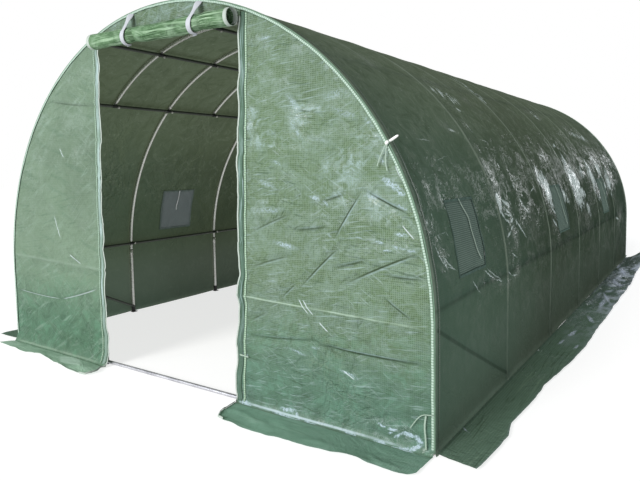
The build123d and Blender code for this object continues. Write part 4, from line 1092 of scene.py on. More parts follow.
def gable_shine(X, Z, side):
    """Shiny patches where the film is slack."""
    a = smooth(0.05, 0.55, fbm(X * 5.5, Z * 9.5, 400 + side, 3)) * smooth(0.7, 1.2, Z) * 0.9
    low = np.exp(-((Z - 0.03) / 0.045) ** 2)
    b = smooth(-0.1, 0.5, fbm(X * 11, Z * 22, 430 + side, 3))
    return np.clip(a + low * (0.35 + 0.65 * b), 0, 1.3)


def skirt_width(X, side, rear):
    if rear:
        return 0.205 + 0.016 * np.sin(X * 7.0) + 0.008 * vnoise(X * 14, X * 0, 5)
    if side > 0:
        xs = [0.515, 0.542, 0.618, 0.789, 0.944, 1.10, 1.284, 1.414, 1.47, 1.4985]
        ws = [0.150, 0.205, 0.226, 0.232, 0.224, 0.206, 0.204, 0.210, 0.206, 0.185]
        return np.interp(X, xs, ws) + 0.004 * vnoise(X * 20, X * 0, 8)
    xs = [-1.4985, -1.40, -1.311, -1.162, -1.097, -1.046, -0.865, -0.792, -0.70, -0.62, -0.56, -0.535, -0.522, -0.515]
    ws = [0.112, 0.122, 0.132, 0.148, 0.132, 0.120, 0.156, 0.172, 0.186, 0.198, 0.200, 0.197, 0.190, 0.178]
    return np.interp(X, xs, ws)


def jamb_wave(X, Z, side):
    """The free edge at the doorway is wavy: how far it stands sideways and out."""
    near = np.exp(-((X - DOOR) / 0.045) ** 2)
    wav = 0.0035 * np.sin(Z * 31 + 1.3 * side) + 0.005 * vnoise(Z * 9, Z * 0, 3 + side) + 0.004 * vnoise(Z * 17, Z * 0, 5 + side)
    shift = near * wav * ((0.35 if side > 0 else 0.10) + 0.65 * (1 - smooth(0.8, 1.3, Z))) - (0.012 * near * (1 - smooth(0.5, 0.9, Z)) if side < 0 else 0.0)
    wide = np.exp(-((X - DOOR) / 0.28) ** 2)
    shift = shift + wide * side * ((Z - LEG) if side > 0 else np.maximum(Z - LEG, 0)) * math.sin(LEAN) - near * 0.004 * np.exp(-(Z / 0.3) ** 2)
    out = 0.007 * near * vnoise(Z * 12, Z * 0, 31 + side) + 0.003 * near
    return shift, out


def foot_out(X, Z, side, rear):
    """How far the panel has swung out just above the ground, where it turns into the skirt."""
    if rear or side > 0:
        return 0.016 * (1 - smooth(0.0, 0.055, Z)) ** 2
    k = 0.030 + 0.012 * np.exp(-((X - DOOR) / 0.12) ** 2)
    return k * np.clip(1 - Z / 0.10, 0, 1) ** 2.2


def panel_xyz(X, Z, side, rear=False, off=0.0):
    """Point of a gable panel. X is measured out from the middle, positive on both sides."""
    X, Z = np.broadcast_arrays(np.asarray(X, float), np.asarray(Z, float))
    h = gable_field(side * X, Z, -side * 3 if rear else side)
    shift, out = (0.0, 0.0) if rear else jamb_wave(X, Z, side)
    y = h + 0.0006 + foot_out(X, Z, side, rear) + out + off
    return np.stack([side * (X + shift), (Y1 + y) if rear else (Y0 - y), Z + 0 * X], axis=-1)


GRID = {}


def gable(side, rear=False):
    """One panel with its skirt, from the arch down and out over the ground."""
    tag = ("rear" if rear else "front") + ("_right" if side > 0 else "_left")
    ph0 = math.asin(DOOR / R_EDGE)
    phis = np.concatenate([[ph0, ph0 + 0.006], np.linspace(ph0 + 0.014, math.pi / 2 - 0.03, 150), [math.pi / 2 - 0.017, math.pi / 2 - 0.006, math.pi / 2]])
    X = R_EDGE * np.sin(phis)
    top = LEG + R_EDGE * np.cos(phis)
    if not rear:
        for _ in range(4):
            top = LEG + np.sqrt(np.maximum(R_EDGE ** 2 - (X + jamb_wave(X, top, side)[0]) ** 2, 0))
    q = np.concatenate([np.linspace(0, 0.06, 14)[:-1], np.linspace(0.06, 1.0, 215)])
    # the panel's grid, rows from just above the ground up to the arch
    Xg = np.repeat(X[:, None], len(q), axis=1)
    Zg = q[None, :] * (top[:, None] - 0.004) + 0.004
    pull = np.exp(-((Zg - BAR_Z) / 0.05) ** 2)
    sx = side * Xg
    pp = panel_xyz(Xg, Zg, side, rear)
    shift = pp[..., 0] * side - Xg
    yout = (pp[..., 1] - Y1) if rear else (Y0 - pp[..., 1])
    # skirt rows
    m_rows = 16
    t = np.linspace(0, 1, m_rows + 1)[1:]
    W = skirt_width(side * X, side, rear)
    Xs = np.repeat(X[:, None], m_rows, axis=1)
    T = t[None, :]
    D0 = yout[:, :1] + 0.002
    D = D0 + T * (W[:, None] - D0)
    rip = fbm(Xs * 5 * side + 0.4, D * 9, 210 + side + (50 if rear else 0), 3)
    lo, hi = sorted((0.5 * side, 1.5 * side))
    kinks = folds(Xs * side, D, 22, 91 + side, (lo, hi, 0, 0.25), (0.06, 0.20), (0.012, 0.028), (0.3, 0.9), angle=0.12, spread=0.6)
    Zs = 0.0040 + T * (1 - 0.4 * T) * (0.008 + 0.010 * rip) + 0.010 * T * np.maximum(0, kinks) + 0.004 * T * T * np.maximum(0, np.sin(Xs * 21 + side))
    Zs = np.maximum(Zs, 0.002)
    if side < 0 and not rear:
        # the left skirt is bunched up near the doorway
        Zs = Zs + 0.012 * np.exp(-((Xs - 0.60) / 0.10) ** 2) * T * (1 - T) * 4 * (0.6 + 0.4 * rip)
        Xs = Xs - 0.050 * smooth(0.10, 0.70, T) * np.exp(-((Xs - DOOR) / 0.10) ** 2) + 0.060 * T * np.exp(-((Xs - R_EDGE) / 0.05) ** 2)
    full_x = np.concatenate([(Xg + shift)[:, ::-1], Xs + (shift[:, :1] if np.ndim(shift) else 0) * (1 - T)], axis=1)
    full_z = np.concatenate([Zg[:, ::-1], Zs], axis=1)
    full_o = np.concatenate([yout[:, ::-1], D + 0.0], axis=1)
    full_v = np.concatenate([Zg[:, ::-1], -D], axis=1)
    sgn = 1 if rear else -1
    base = Y1 if rear else Y0
    P = np.stack([side * full_x, base + sgn * full_o, full_z], axis=-1)
    GRID[tag] = (P, len(q))
    nu, nv = full_x.shape
    fm = np.zeros((nu - 1, nv - 1), int)
    fm[:, len(q) - 1 + 1:] = 1
    shine = np.concatenate([gable_shine(sx, Zg, side)[:, ::-1], 0.25 + 0.6 * smooth(0.1, 0.6, fbm(Xs * 8, D * 15, 5 + side, 3))], axis=1)
    zb = Zg - bar_line(sx)
    # painted highlight along the top of the gable bar behind the film
    rid = (0.12 if side > 0 else 0.45) * np.exp(-((zb - 0.001) / 0.0070) ** 2) * smooth(0.0, 0.05, R_EDGE - Xg) * (0.75 + 0.25 * vnoise(sx * 14, Zg * 0, 3))
    for c in (SCUFF_HIGHLIGHTS_R if side > 0 else SCUFF_HIGHLIGHTS_L) if not rear else ():
        L = math.hypot(c[2] - c[0], c[3] - c[1])
        ux, uz = (c[2] - c[0]) / L, (c[3] - c[1]) / L
        al = (sx - c[0]) * ux + (Zg - c[1]) * uz
        ac = -(sx - c[0]) * uz + (Zg - c[1]) * ux
        rid = rid + (0.0 if side > 0 else 0.5) * np.exp(-(ac / 0.0042) ** 2) * smooth(-0.01, 0.01, al) * (1 - smooth(L - 0.01, L + 0.01, al))
    # painted highlight along the fold where the panel meets the ground
    fold_highlight = np.exp(-((Zg - 0.016) / 0.012) ** 2) * (0.45 + 0.55 * smooth(-0.4, 0.4, fbm(sx * 9, Zg * 3, 71, 3)))
    rid = rid + (0.10 if side > 0 else 0.22) * fold_highlight
    # painted highlight along the skirt's outer edge
    rim_highlight = np.exp(-((T - 1) / 0.035) ** 2) * (0.4 + 0.6 * smooth(0.0, 0.4, vnoise(Xs * 6, Xs * 0, 55))) + 0 * Xs
    # a folded-over flap on the left skirt, painted lighter: painted highlight
    flap_highlight = 0 * Xs
    if side < 0 and not rear:
        poly = [(-0.902, 0.073), (-0.794, 0.010), (-0.610, 0.124), (-0.783, 0.149)]
        flap_highlight = 1.0 + 0 * Xs
        for (px0, pd0), (px1, pd1) in zip(poly, poly[1:] + poly[:1]):
            ex, ed = px1 - px0, pd1 - pd0
            flap_highlight = flap_highlight * smooth(-0.004, 0.006, -((-Xs - px0) * ed - (D - pd0) * ex) / math.hypot(ex, ed))
    rid = np.concatenate([rid[:, ::-1], 0.55 * rim_highlight + 0.60 * flap_highlight], axis=1)
    gl = 0 * Zg
    if not rear:
        if side > 0:
            gl = gl + 0.25 * np.exp(-((Zg - 0.016) / 0.006) ** 2) * (0.45 + 0.55 * smooth(-0.1, 0.35, vnoise(sx * 5.2, sx * 0, 21)))
            gl = gl + 0.35 * np.exp(-((sx - 1.30) / 0.105) ** 4 - ((Zg - 0.060) / 0.050) ** 4) * smooth(-0.25, 0.15, fbm(sx * 16, Zg * 22, 77, 2))
            gl = gl + 0.2 * np.exp(-((sx - 0.88) / 0.10) ** 2 - ((Zg - 0.05) / 0.028) ** 2)
            gl = gl + 0.25 * np.exp(-((sx - 0.55) / 0.04) ** 2 - ((Zg - 0.04) / 0.045) ** 2)
            for cx, cz, rx, rz, am in ((1.33, 0.83, 0.10, 0.026, 0.9), (1.25, 0.93, 0.14, 0.025, 0.6), (1.12, 0.965, 0.12, 0.022, 0.5), (0.70, 0.90, 0.10, 0.022, 0.55),
                                       (0.74, 1.09, 0.09, 0.022, 0.5), (1.00, 0.90, 0.12, 0.020, 0.5), (1.36, 1.10, 0.06, 0.05, 0.6), (1.30, 1.20, 0.06, 0.06, 0.5), (0.72, 0.62, 0.12, 0.030, 0.4)):
                gl = gl + 0.3 * am * np.exp(-((sx - cx) / rx) ** 2 - ((Zg - cz - 0.12 * (sx - cx)) / rz) ** 2)
        gl = gl + (0.22 if side > 0 else 0.06) * smooth(0.15, 0.5, fbm(sx * 9, Zg * 18, 470 + side, 3)) * smooth(0.6, 1.0, Zg)
    gl = np.concatenate([gl[:, ::-1], 0.25 * rim_highlight], axis=1)
    shd = 0 * Zg
    for c in (CREASES_R if side > 0 else CREASES_L[2:]) if not rear else ():
        L = math.hypot(c[2] - c[0], c[3] - c[1])
        ux, uz = (c[2] - c[0]) / L, (c[3] - c[1]) / L
        al = (sx - c[0]) * ux + (Zg - c[1]) * uz
        ac = -(sx - c[0]) * uz + (Zg - c[1]) * ux + 0.0144 * L * np.sin(al / L * math.pi)
        shd = shd + 0.22 * np.exp(-((ac + 0.003) / 0.0080) ** 2) * smooth(-0.02, 0.03, al) * (1 - smooth(L - 0.05, L + 0.02, al))
    shd = np.concatenate([shd[:, ::-1], 0 * Xs], axis=1)
    o = obj_from(f"film_{tag}", P.reshape(-1, 3), grid_faces(nu, nv), [M_REAR if rear else (M_FRONT if side > 0 else M_FRONT2), M_SKIRTF if side > 0 or rear else M_SKIRTL],
                 uv=np.stack([(side * full_x).ravel() + 3, full_v.ravel() + 3], axis=1),
                 attrs={"ridge": rid.ravel(), "shine": shine.ravel(), "shade": shd.ravel(), "glint": gl.ravel(),
                        "crinkle": np.concatenate([(0.45 + 0.25 * vnoise(sx * 3, Zg * 3, 77))[:, ::-1], 0.25 + 0 * Xs], axis=1).ravel()}, face_mat=fm.ravel())
    r = "rear" if rear else "front"
    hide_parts(f"{r}_panel_{'right' if side > 0 else 'left'}", f"{r}_skirt_{'right' if side > 0 else 'left'}")
    return o


front_right = gable(1)
front_left = gable(-1)
rear_right = gable(1, rear=True)
rear_left = gable(-1, rear=True)

# ------------------------------------------------------------------ headers above the door, and the closed rear door
def flat_panel(name, xs, zs, out_fn, mats, sgn, attrs_fn, face_mat=None):
    Xg, Zg = np.meshgrid(xs, zs, indexing="ij")
    top = LEG + np.sqrt(R_EDGE ** 2 - Xg ** 2)
    lo, hi = zs[0], zs[-1]
    Z = lo + (Zg - lo) / (hi - lo) * (top - lo)
    edge = smooth(0.0, 0.03, top - Z)
    out = out_fn(Xg, Z) * edge + 0.0008
    P = np.stack([Xg, (Y1 + out) if sgn > 0 else (Y0 - out), Z], axis=-1)
    at = attrs_fn(Xg, Z)
    fa = grid_faces(len(xs), len(zs))
    return obj_from(name, P.reshape(-1, 3), fa, mats, uv=np.stack([Xg.ravel() + 3, Z.ravel() + 3], axis=1), attrs={k: v.ravel() for k, v in at.items()})


def header_out(X, Z):
    h = 0.004 * fbm(X * 5, Z * 6, 501, 3) + 0.005
    for x0, lean, d in ((-0.33, -0.25, 0.006), (-0.12, -0.15, 0.007), (0.02, 0.10, 0.006), (0.16, 0.25, 0.008), (0.36, 0.4, 0.006), (0.45, 0.5, 0.005)):
        ac = (X - x0 - lean * (Z - 1.9)) / 0.012
        h = h + d * (ac * np.exp(-0.5 * ac * ac) + 0.3 * np.exp(-0.5 * (ac / 2) ** 2))
    return h


hd = flat_panel("film_header_front", np.linspace(-DOOR + 0.030, DOOR + 0.062, 120), np.linspace(1.842, 2.0, 22), header_out, [M_FRONT], -1,
                lambda X, Z: {"ridge": 0 * X, "shine": 0.3 + 0.2 * fbm(X * 6, Z * 6, 9, 2), "shade": 0.30 * smooth(0.0, 0.6, fbm(X * 8, Z * 3, 12, 2)) + 0.35 * (1 - smooth(1.86, 1.93, Z)), "crinkle": 0.6 + 0 * X})
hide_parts("front_header")


def rear_out(X, Z):
    h = 0.005 * fbm(X * 2.6, Z * 1.8, 601, 4) + 0.004 + 0.0022 * fbm(X * 9, Z * 8, 603, 3)
    h = h + folds(X, Z, 60, 605, (-0.5, 0.5, 0.05, 1.8), (0.04, 0.16), (0.008, 0.02), (0.001, 0.003), angle=1.4, spread=1.2)
    return h + 0.010 * (1 - smooth(0.0, 0.06, Z)) ** 2


rd = flat_panel("film_rear_door", np.linspace(-DOOR - 0.012, DOOR + 0.012, 70), np.linspace(0.012, 2.0, 130), rear_out, [M_REAR], 1,
                lambda X, Z: {"ridge": 0 * X, "shine": gable_shine(X, Z, 2), "shade": 0 * X, "crinkle": 0.5 + 0 * X})
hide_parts("rear_header", "rear_door")


# ------------------------------------------------------------------ zip bands, hems, piping
def strip(name, centre, across, width, mats, lift=0.0008, cols=5, thick=None, crown=0.0006):
    """A band laid on a surface: centre holds the points, the unit across directions and the normals from the surface.
    across is not used.
    """
    C, A, N = centre
    k = np.linspace(-0.5, 0.5, cols)
    w = np.broadcast_to(np.asarray(width, float), (len(C),))
    s = np.concatenate([[0], np.cumsum(np.linalg.norm(np.diff(C, axis=0), axis=1))])
    V = np.stack([C + A * (w * c)[:, None] + N * (lift + crown * (1 - (2 * c) ** 2)) for c in k], axis=1).reshape(-1, 3)
    UV = np.stack([np.stack([s, c * w], axis=1) for c in k], axis=1).reshape(-1, 2)
    return V, grid_faces(len(C), cols), UV


def along_panel(side, rear, x_of_z, z0, z1, n, off):
    Z = np.linspace(z0, z1, n)
    X = x_of_z(Z)
    C = panel_xyz(X, Z, side, rear, off)
    A = panel_xyz(X + 0.004, Z, side, rear, off) - C
    A /= np.linalg.norm(A, axis=1, keepdims=True)
    T = np.gradient(C, axis=0)
    N = np.cross(A, T)
    N /= np.linalg.norm(N, axis=1, keepdims=True)
    N[np.sign(N[:, 1]) != (1 if rear else -1)] *= -1
    return C, A, N


for rear in (False, True):
    r = "rear" if rear else "front"
    hems, zips, seams = [], [], []
    for side in (-1, 1):
        zt = LEG + math.sqrt(R_EDGE ** 2 - (0.53 if rear or side < 0 else 0.612) ** 2) - 0.008
        lt = side < 0 and not rear
        wob = lambda Z, a=side: 0.0012 * np.sin(Z * 23 + a) + 0.0012 * np.sin(Z * 51 + 2 * a)
        hems.append(strip("", along_panel(side, rear, lambda Z: DOOR + 0.0030 + wob(Z), 0.015, zt, 220, 0.0006), None, 0.0085, None) + (0,))
        zips.append(strip("", along_panel(side, rear, lambda Z: DOOR + 0.023 + 0 * Z, 0.015, zt, 160, 0.0003), None, 0.026, None, crown=0.0015) + (1 if lt else 0,))
        seams.append(strip("", along_panel(side, rear, lambda Z: DOOR + 0.046 + 0.5 * wob(Z), 0.015, zt - 0.006, 160, 0.0006), None, 0.0115, None) + (1 if lt else 0,))
        if rear:
            seams.append(strip("", along_panel(side, rear, lambda Z: DOOR - 0.0 + 0.5 * wob(Z), 0.03, zt, 160, 0.004), None, 0.008, None) + (0,))
    for nm, parts, mt in ((f"door_hems_{r}", hems, M_HEM), (f"zip_bands_{r}", zips, M_ZIP), (f"zip_seams_{r}", seams, M_SEAM)):
        o = merge(nm, parts, {M_SEAM.name: [mt, M_SEAML], M_ZIP.name: [mt, M_ZIPL]}.get(mt.name, [mt]))
        thicken(o, 0.0012, 0.0)

# the hem carries on round the free end of each skirt beside the doorway
ends = []
for tag, k_end in (("front_left", 22), ("front_right", 9)):
    Pg, nq = GRID[tag]
    path = np.concatenate([Pg[0, nq - 6:], Pg[1:k_end, -1]])
    path = spline(path[::2] + [0, 0, 0.0014], 90)
    T = np.gradient(path, axis=0)
    T /= np.linalg.norm(T, axis=1, keepdims=True)
    inward = (-1 if tag.endswith("left") else 1)
    B = np.cross(T, np.array([0, -0.6, 0.8]) * np.ones((90, 1)))
    B *= np.sign(B[:, :1] * inward + 1e-9)
    B /= np.linalg.norm(B, axis=1, keepdims=True)
    N = np.cross(B, T)
    N /= np.linalg.norm(N, axis=1, keepdims=True)
    N *= np.where((N[:, 2:] - N[:, 1:2]) < 0, -1, 1)
    B = B * 0.55 + np.array([0, 0, 0.83])
    B /= np.linalg.norm(B, axis=1, keepdims=True)
    N = np.cross(B, T)
    N /= np.linalg.norm(N, axis=1, keepdims=True)
    N *= np.where(N[:, 1:2] > 0, -1, 1)
    v, f, u = strip("", (path + B * 0.004, B, N), None, 0.0085, None, lift=0.0006)
    ends.append((v, f, u, 0))
o = merge("skirt_end_hems", ends, [M_HEM])
thicken(o, 0.0010, 0.0)

# piping round both gable edges: a pale stitched strip on the gable, and a bead on the corner
for rear in (False, True):
    r = "rear" if rear else "front"
    yb = Y1 if rear else Y0
    sg = 1 if rear else -1
    n = 420
    Sx = np.linspace(-S_GROUND + 0.012, S_GROUND - 0.012, n)
    x, z, nx, nz = cover_base(0 * Sx, Sx)
    wob = 0.0010 * vnoise(Sx * 14, Sx * 0, 61) + 0.0008 * vnoise(Sx * 37, Sx * 0, 63)
    rr = -0.0070 + wob
    C = np.stack([x + nx * rr, np.full(n, yb + sg * 0.0036) + sg * 0.0015 * vnoise(Sx * 9, Sx * 0, 5), z + nz * rr], axis=1)
    A = np.stack([nx, 0 * nx, nz], axis=1)
    N = np.tile([0.0, sg, 0.0], (n, 1))
    v, f, u = strip("", (C, A, N), None, 0.0120, None, crown=0.0018, cols=7)
    o = obj_from(f"piping_{r}", v, f, [M_PIPE], uv=u)
    thicken(o, 0.0012, 0.0)
    bead = np.stack([x + nx * 0.0008, np.full(n, yb + sg * 0.0015), z + nz * 0.0008], axis=1)
    v, f, u = tube("", bead, 0.0034, None, sides=8)
    o = obj_poly(f"corner_bead_{r}", v, f, [M_PIPE], u)
    # the hem sewn back along the roof sheet
    yh = yb - sg * 0.052
    C = cover_xyz(np.full(n, yh), Sx, 0.0006)
    A = np.tile([0.0, 1.0, 0.0], (n, 1))
    N = np.stack([nx, 0 * nx, nz], axis=1)
    v, f, u = strip("", (C, A, N), None, 0.010, None, crown=0.0006, cols=3)
    o = obj_from(f"hem_seam_{r}", v, f, [M_SEAM2], uv=u)

# ------------------------------------------------------------------ the rolled door, a true spiral
ROLL_Z, ROLL_Y, ROLL_R = 1.852, -3.0463, 0.0455
TURNS = 9.3
R_IN = 0.0095
HALF = 0.515
nth, nxr = int(TURNS * 30), 84
th = np.linspace(0, TURNS * 2 * math.pi, nth)
xr = np.concatenate([[-HALF, -HALF + 0.011], np.linspace(-HALF + 0.022, HALF - 0.022, nxr - 4), [HALF - 0.011, HALF]])
TH, XR = np.meshgrid(th, xr, indexing="ij")
frac = TH / th[-1]
RAD = R_IN + (ROLL_R - 0.004 - R_IN) * frac
outer = smooth(0.80, 1.0, frac)
STRAPS = (-0.153, 0.328)
strap_d = np.minimum(np.abs(XR - STRAPS[0]), np.abs(XR - STRAPS[1]))
lump = 0.0040 * fbm(XR * 5.0, TH * 0.55 / 1.0, 701, 3) + 0.0016 * fbm(XR * 17, TH * 2.0, 703, 2)
twist = 0.0026 * np.sin(XR * 24 + TH * 1.0) * smooth(0.0, 0.6, fbm(XR * 3, TH * 0.4, 707, 2))
pleat = 0
for x0_, sl_, wd_ in ((-0.40, 0.06, 0.018), (-0.30, -0.05, 0.014), (-0.05, 0.05, 0.016), (0.08, -0.06, 0.015), (0.20, 0.04, 0.013), (0.42, -0.05, 0.016), (0.36, 0.05, 0.012)):
    pleat = pleat + 0.0024 * np.exp(-((XR - x0_ - sl_ * np.sin(TH)) / wd_) ** 2)
RAD = RAD + outer * (lump + twist + pleat) - outer * 0.0060 * np.exp(-(strap_d / 0.030) ** 2) + outer * 0.002 * np.exp(-((np.abs(XR) - 0.49) / 0.03) ** 2)
RAD = RAD + (1 - outer) * 0.0004 * fbm(XR * 3 + 9, TH * 0.3, 711, 2)
ang = -TH + math.pi * 1.32
# the ends are wound a little askew: the inner turns sit back inside the roll
XX = XR - np.sign(XR) * smooth(0.44, HALF, np.abs(XR)) * (0.030 * (1 - smooth(0.80, 0.90, frac)) + 0.0030 * np.sin(TH * 0.7) * (1 - outer))
YR = ROLL_Y - np.cos(ang) * RAD
ZR = ROLL_Z + np.sin(ang) * RAD + 0.003 * (np.exp(-(strap_d / 0.10) ** 2) - 0.5) - 0.003 * np.cos(XR * 6.1)
# the whole roll hangs with the lean of the doorway
XX, ZR = leaned(XX, ZR)
Pr = np.stack([XX, YR, ZR], axis=-1)
fm = np.zeros((nth - 1, len(xr) - 1), int)
wound = th[:-1] > th[-1] * 0.86
fm[np.ix_(wound, [0, 1])] = 1
fm[np.ix_(wound, [len(xr) - 3, len(xr) - 2])] = 1
# the pleats carry a painted highlight in the ridge attribute; the inner turns and the film beside the straps carry
# painted shade
ro = obj_from("rolled_film", Pr.reshape(-1, 3), grid_faces(nth, len(xr)), [M_ROLL, M_HEM],
              uv=np.stack([XR.ravel() + 3, (frac * 1.84 + 3).ravel()], axis=1),
              attrs={"ridge": (0.5 * outer * np.clip(pleat / 0.0024, 0, 1)).ravel(), "shine": (0.45 * outer).ravel(), "shade": ((1 - smooth(0.80, 0.88, frac)) * (0.75 + 0.45 * np.sin(TH * 1.5) * np.cos(TH * 0.31)) + 0.35 * outer * np.exp(-(strap_d / 0.020) ** 2)).ravel(), "crinkle": 0.8 * outer.ravel()}, face_mat=fm.ravel())
thicken(ro, 0.0012, 0.0)
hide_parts("rolled_door")

# straps: up behind the header's edge, down over the front of the roll, with a loose end
straps = []
for xt, xm, xb, tail in ((-0.172, -0.150, -0.168, 0.006), (0.326, 0.336, 0.316, 0.010)):
    zt = LEG + math.sqrt(R_EDGE ** 2 - xt ** 2)
    cz = leaned(xm, ROLL_Z)[1]
    rr = ROLL_R - 0.0014
    back, up = ROLL_Y + 3.0075, zt - 0.010 - cz
    dist = math.hypot(back, up)
    a0 = math.degrees(math.atan2(up, back) if back > 0 else math.pi - math.atan2(up, -back))
    at_ = a0 - math.degrees(math.acos(rr / dist))
    ya, za = ROLL_Y - math.cos(math.radians(at_)) * rr, cz + math.sin(math.radians(at_)) * rr
    pts = [(xt, -3.0075, zt - 0.010)]
    for k_ in (0.12, 0.35, 0.65, 0.85):
        pts.append((xt + (xm - xt) * k_, -3.0075 + (ya + 3.0075) * k_ - 0.0015, zt - 0.010 + (za - zt + 0.010) * k_))
    for a in np.radians(np.concatenate([[at_], np.arange(at_ - 14, -104, -18), [-104]])):
        pts.append((xm + (xb - xm) * (1.0 - math.sin(a)) * 0.5, ROLL_Y - math.cos(a) * rr, cz + math.sin(a) * rr))
    last = pts[-1]
    pts.append((xb + 0.001, last[1] + 0.002, last[2] - tail * 0.5))
    pts.append((xb + 0.003, last[1] - 0.004, last[2] - tail))
    Pth = spline(pts, 110)
    T = np.gradient(Pth, axis=0)
    T /= np.linalg.norm(T, axis=1, keepdims=True)
    kk = smooth(-3.055, -3.015, Pth[:, 1]) * (Pth[:, 2] > cz)
    A = np.stack([1.0 + 0 * kk, 0.50 * kk, 0 * kk], axis=1)
    A = A - T * np.sum(A * T, axis=1, keepdims=True)
    A /= np.linalg.norm(A, axis=1, keepdims=True)
    N = np.cross(T, A)
    cdir = Pth - np.array([0, ROLL_Y, ROLL_Z]) * [0, 1, 1] - Pth * [1, 0, 0]
    N *= np.sign(np.sum(N * cdir, axis=1, keepdims=True) + 1e-9)
    k = np.linspace(0, 1, len(Pth))
    straps.append(strip("", (Pth, A, N), None, 0.028 + 0.006 * kk + 0.002 * np.sin(k * 17), None, lift=0.0004, crown=0.0010, cols=7))
o = merge("roll_straps", [(v, f, u, 0) for v, f, u in straps], [M_WHITE])
thicken(o, 0.0012, 0.0)
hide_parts("door_straps")


# ------------------------------------------------------------------ ties along the front edge
def arch_point(x, sgn=1):
    z = LEG + math.sqrt(max(R ** 2 - x * x, 0.0)) if abs(x) < R else LEG
    return x, z


TIE_X = 1.309
TIE_Z = LEG + math.sqrt(R ** 2 - TIE_X ** 2) - 0.002
tie_parts = []


def tape_along(pts, width, nrm, n=50, taper=False):
    Pth = spline(pts, n)
    T = np.gradient(Pth, axis=0)
    T /= np.linalg.norm(T, axis=1, keepdims=True)
    N = np.tile(np.asarray(nrm, float), (n, 1))
    N = N - T * np.sum(N * T, axis=1, keepdims=True)
    N /= np.linalg.norm(N, axis=1, keepdims=True)
    A = np.cross(T, N)
    return strip("", (Pth, A, N), None, width, None, lift=0.0, crown=0.0005, cols=5)


for side in (1,):
    tx, tz = side * TIE_X, TIE_Z
    base = np.array([tx, -3.008, tz])
    inw = -side
    tie_parts.append(tape_along([base + [0.004 * side, 0.008, 0.012], base + [0, -0.004, 0.0], base + [inw * 0.014, -0.007, -0.030], base + [inw * 0.030, -0.006, -0.062], base + [inw * 0.040, -0.008, -0.092]], 0.0044, (0.1, -1, 0)))
    tie_parts.append(tape_along([base + [0.006 * side, 0.008, 0.008], base + [0.002 * side, -0.005, -0.004], base + [inw * 0.002, -0.008, -0.040], base + [inw * 0.004, -0.006, -0.075], base + [inw * -0.004, -0.009, -0.112]], 0.0044, (0.1, -1, 0)))
    # wrap over the edge to the roof side
    tie_parts.append(tape_along([base + [0.002 * side, -0.001, -0.004], base + [0.010 * side, -0.001, 0.004], base + [0.013 * side, 0.012, 0.008], base + [0.012 * side, 0.030, 0.010]], 0.0085, (side * 0.8, -0.3, 0.5), 24))
    # the lower one, tied low down at the corner
    low = np.array([side * 1.488, -3.010, 0.167])
    tie_parts.append(tape_along([low + [0.010 * side, 0.004, 0.0], low + [0, -0.003, 0.001], low + [inw * 0.030, -0.004, -0.004], low + [inw * 0.052, -0.005, -0.022], low + [inw * 0.075, -0.005, -0.055], low + [inw * 0.083, -0.006, -0.068]], 0.0036, (0, -1, 0.1)))
    tie_parts.append(tape_along([low + [inw * 0.020, -0.002, -0.006], low + [inw * 0.024, -0.004, -0.050], low + [inw * 0.020, -0.005, -0.100], low + [inw * 0.018, -0.006, -0.142]], 0.0072, (0, -1, 0)))
# a tape round the right jamb
jx = DOOR
for z0, sd in ((0.243, 1),):
    tie_parts.append(tape_along([(sd * (jx - 0.003), -3.0065, z0 + 0.004), (sd * (jx + 0.012), -3.0105, z0 + 0.001), (sd * (jx + 0.035), -3.0100, z0), (sd * (jx + 0.060), -3.0085, z0 - 0.003)], 0.008, (0, -1, 0), 30))
o = merge("edge_ties", [(v, f, u, 0) for v, f, u in tie_parts], [M_TIE])
thicken(o, 0.0009, 0.0)

tog = []
for side in (1,):
    b0 = np.array([side * TIE_X, -3.006, TIE_Z])
    d = np.array([side * 0.70, 0.10, 0.42])
    d /= np.linalg.norm(d)
    p0, p1 = b0 + d * 0.006, b0 + d * 0.052
    path = np.linspace(p0, p1, 12)
    rad = 0.0052 * np.sqrt(np.clip(1 - np.abs(np.linspace(-1, 1, 12)) ** 6, 0.15, 1))
    tog.append(tube("", path, rad, None, sides=12))
    kn = np.linspace(b0 + [-0.004 * side, -0.006, -0.008], b0 + [0.005 * side, -0.004, 0.007], 9)
    tog.append(tube("", kn, 0.0068 * np.sqrt(np.clip(1 - np.linspace(-1, 1, 9) ** 4, 0.1, 1)), None, sides=10))
V, F, UV, nn = [], [], [], 0
for v, f, u in tog:
    V += list(v)
    F += [[i + nn for i in q] for q in f]
    UV += list(u)
    nn += len(v)
M_TOG = plastic("white_toggle", (0.72, 0.72, 0.70), rough=0.35)
o = obj_poly("edge_toggles", V, F, [M_TOG], UV)

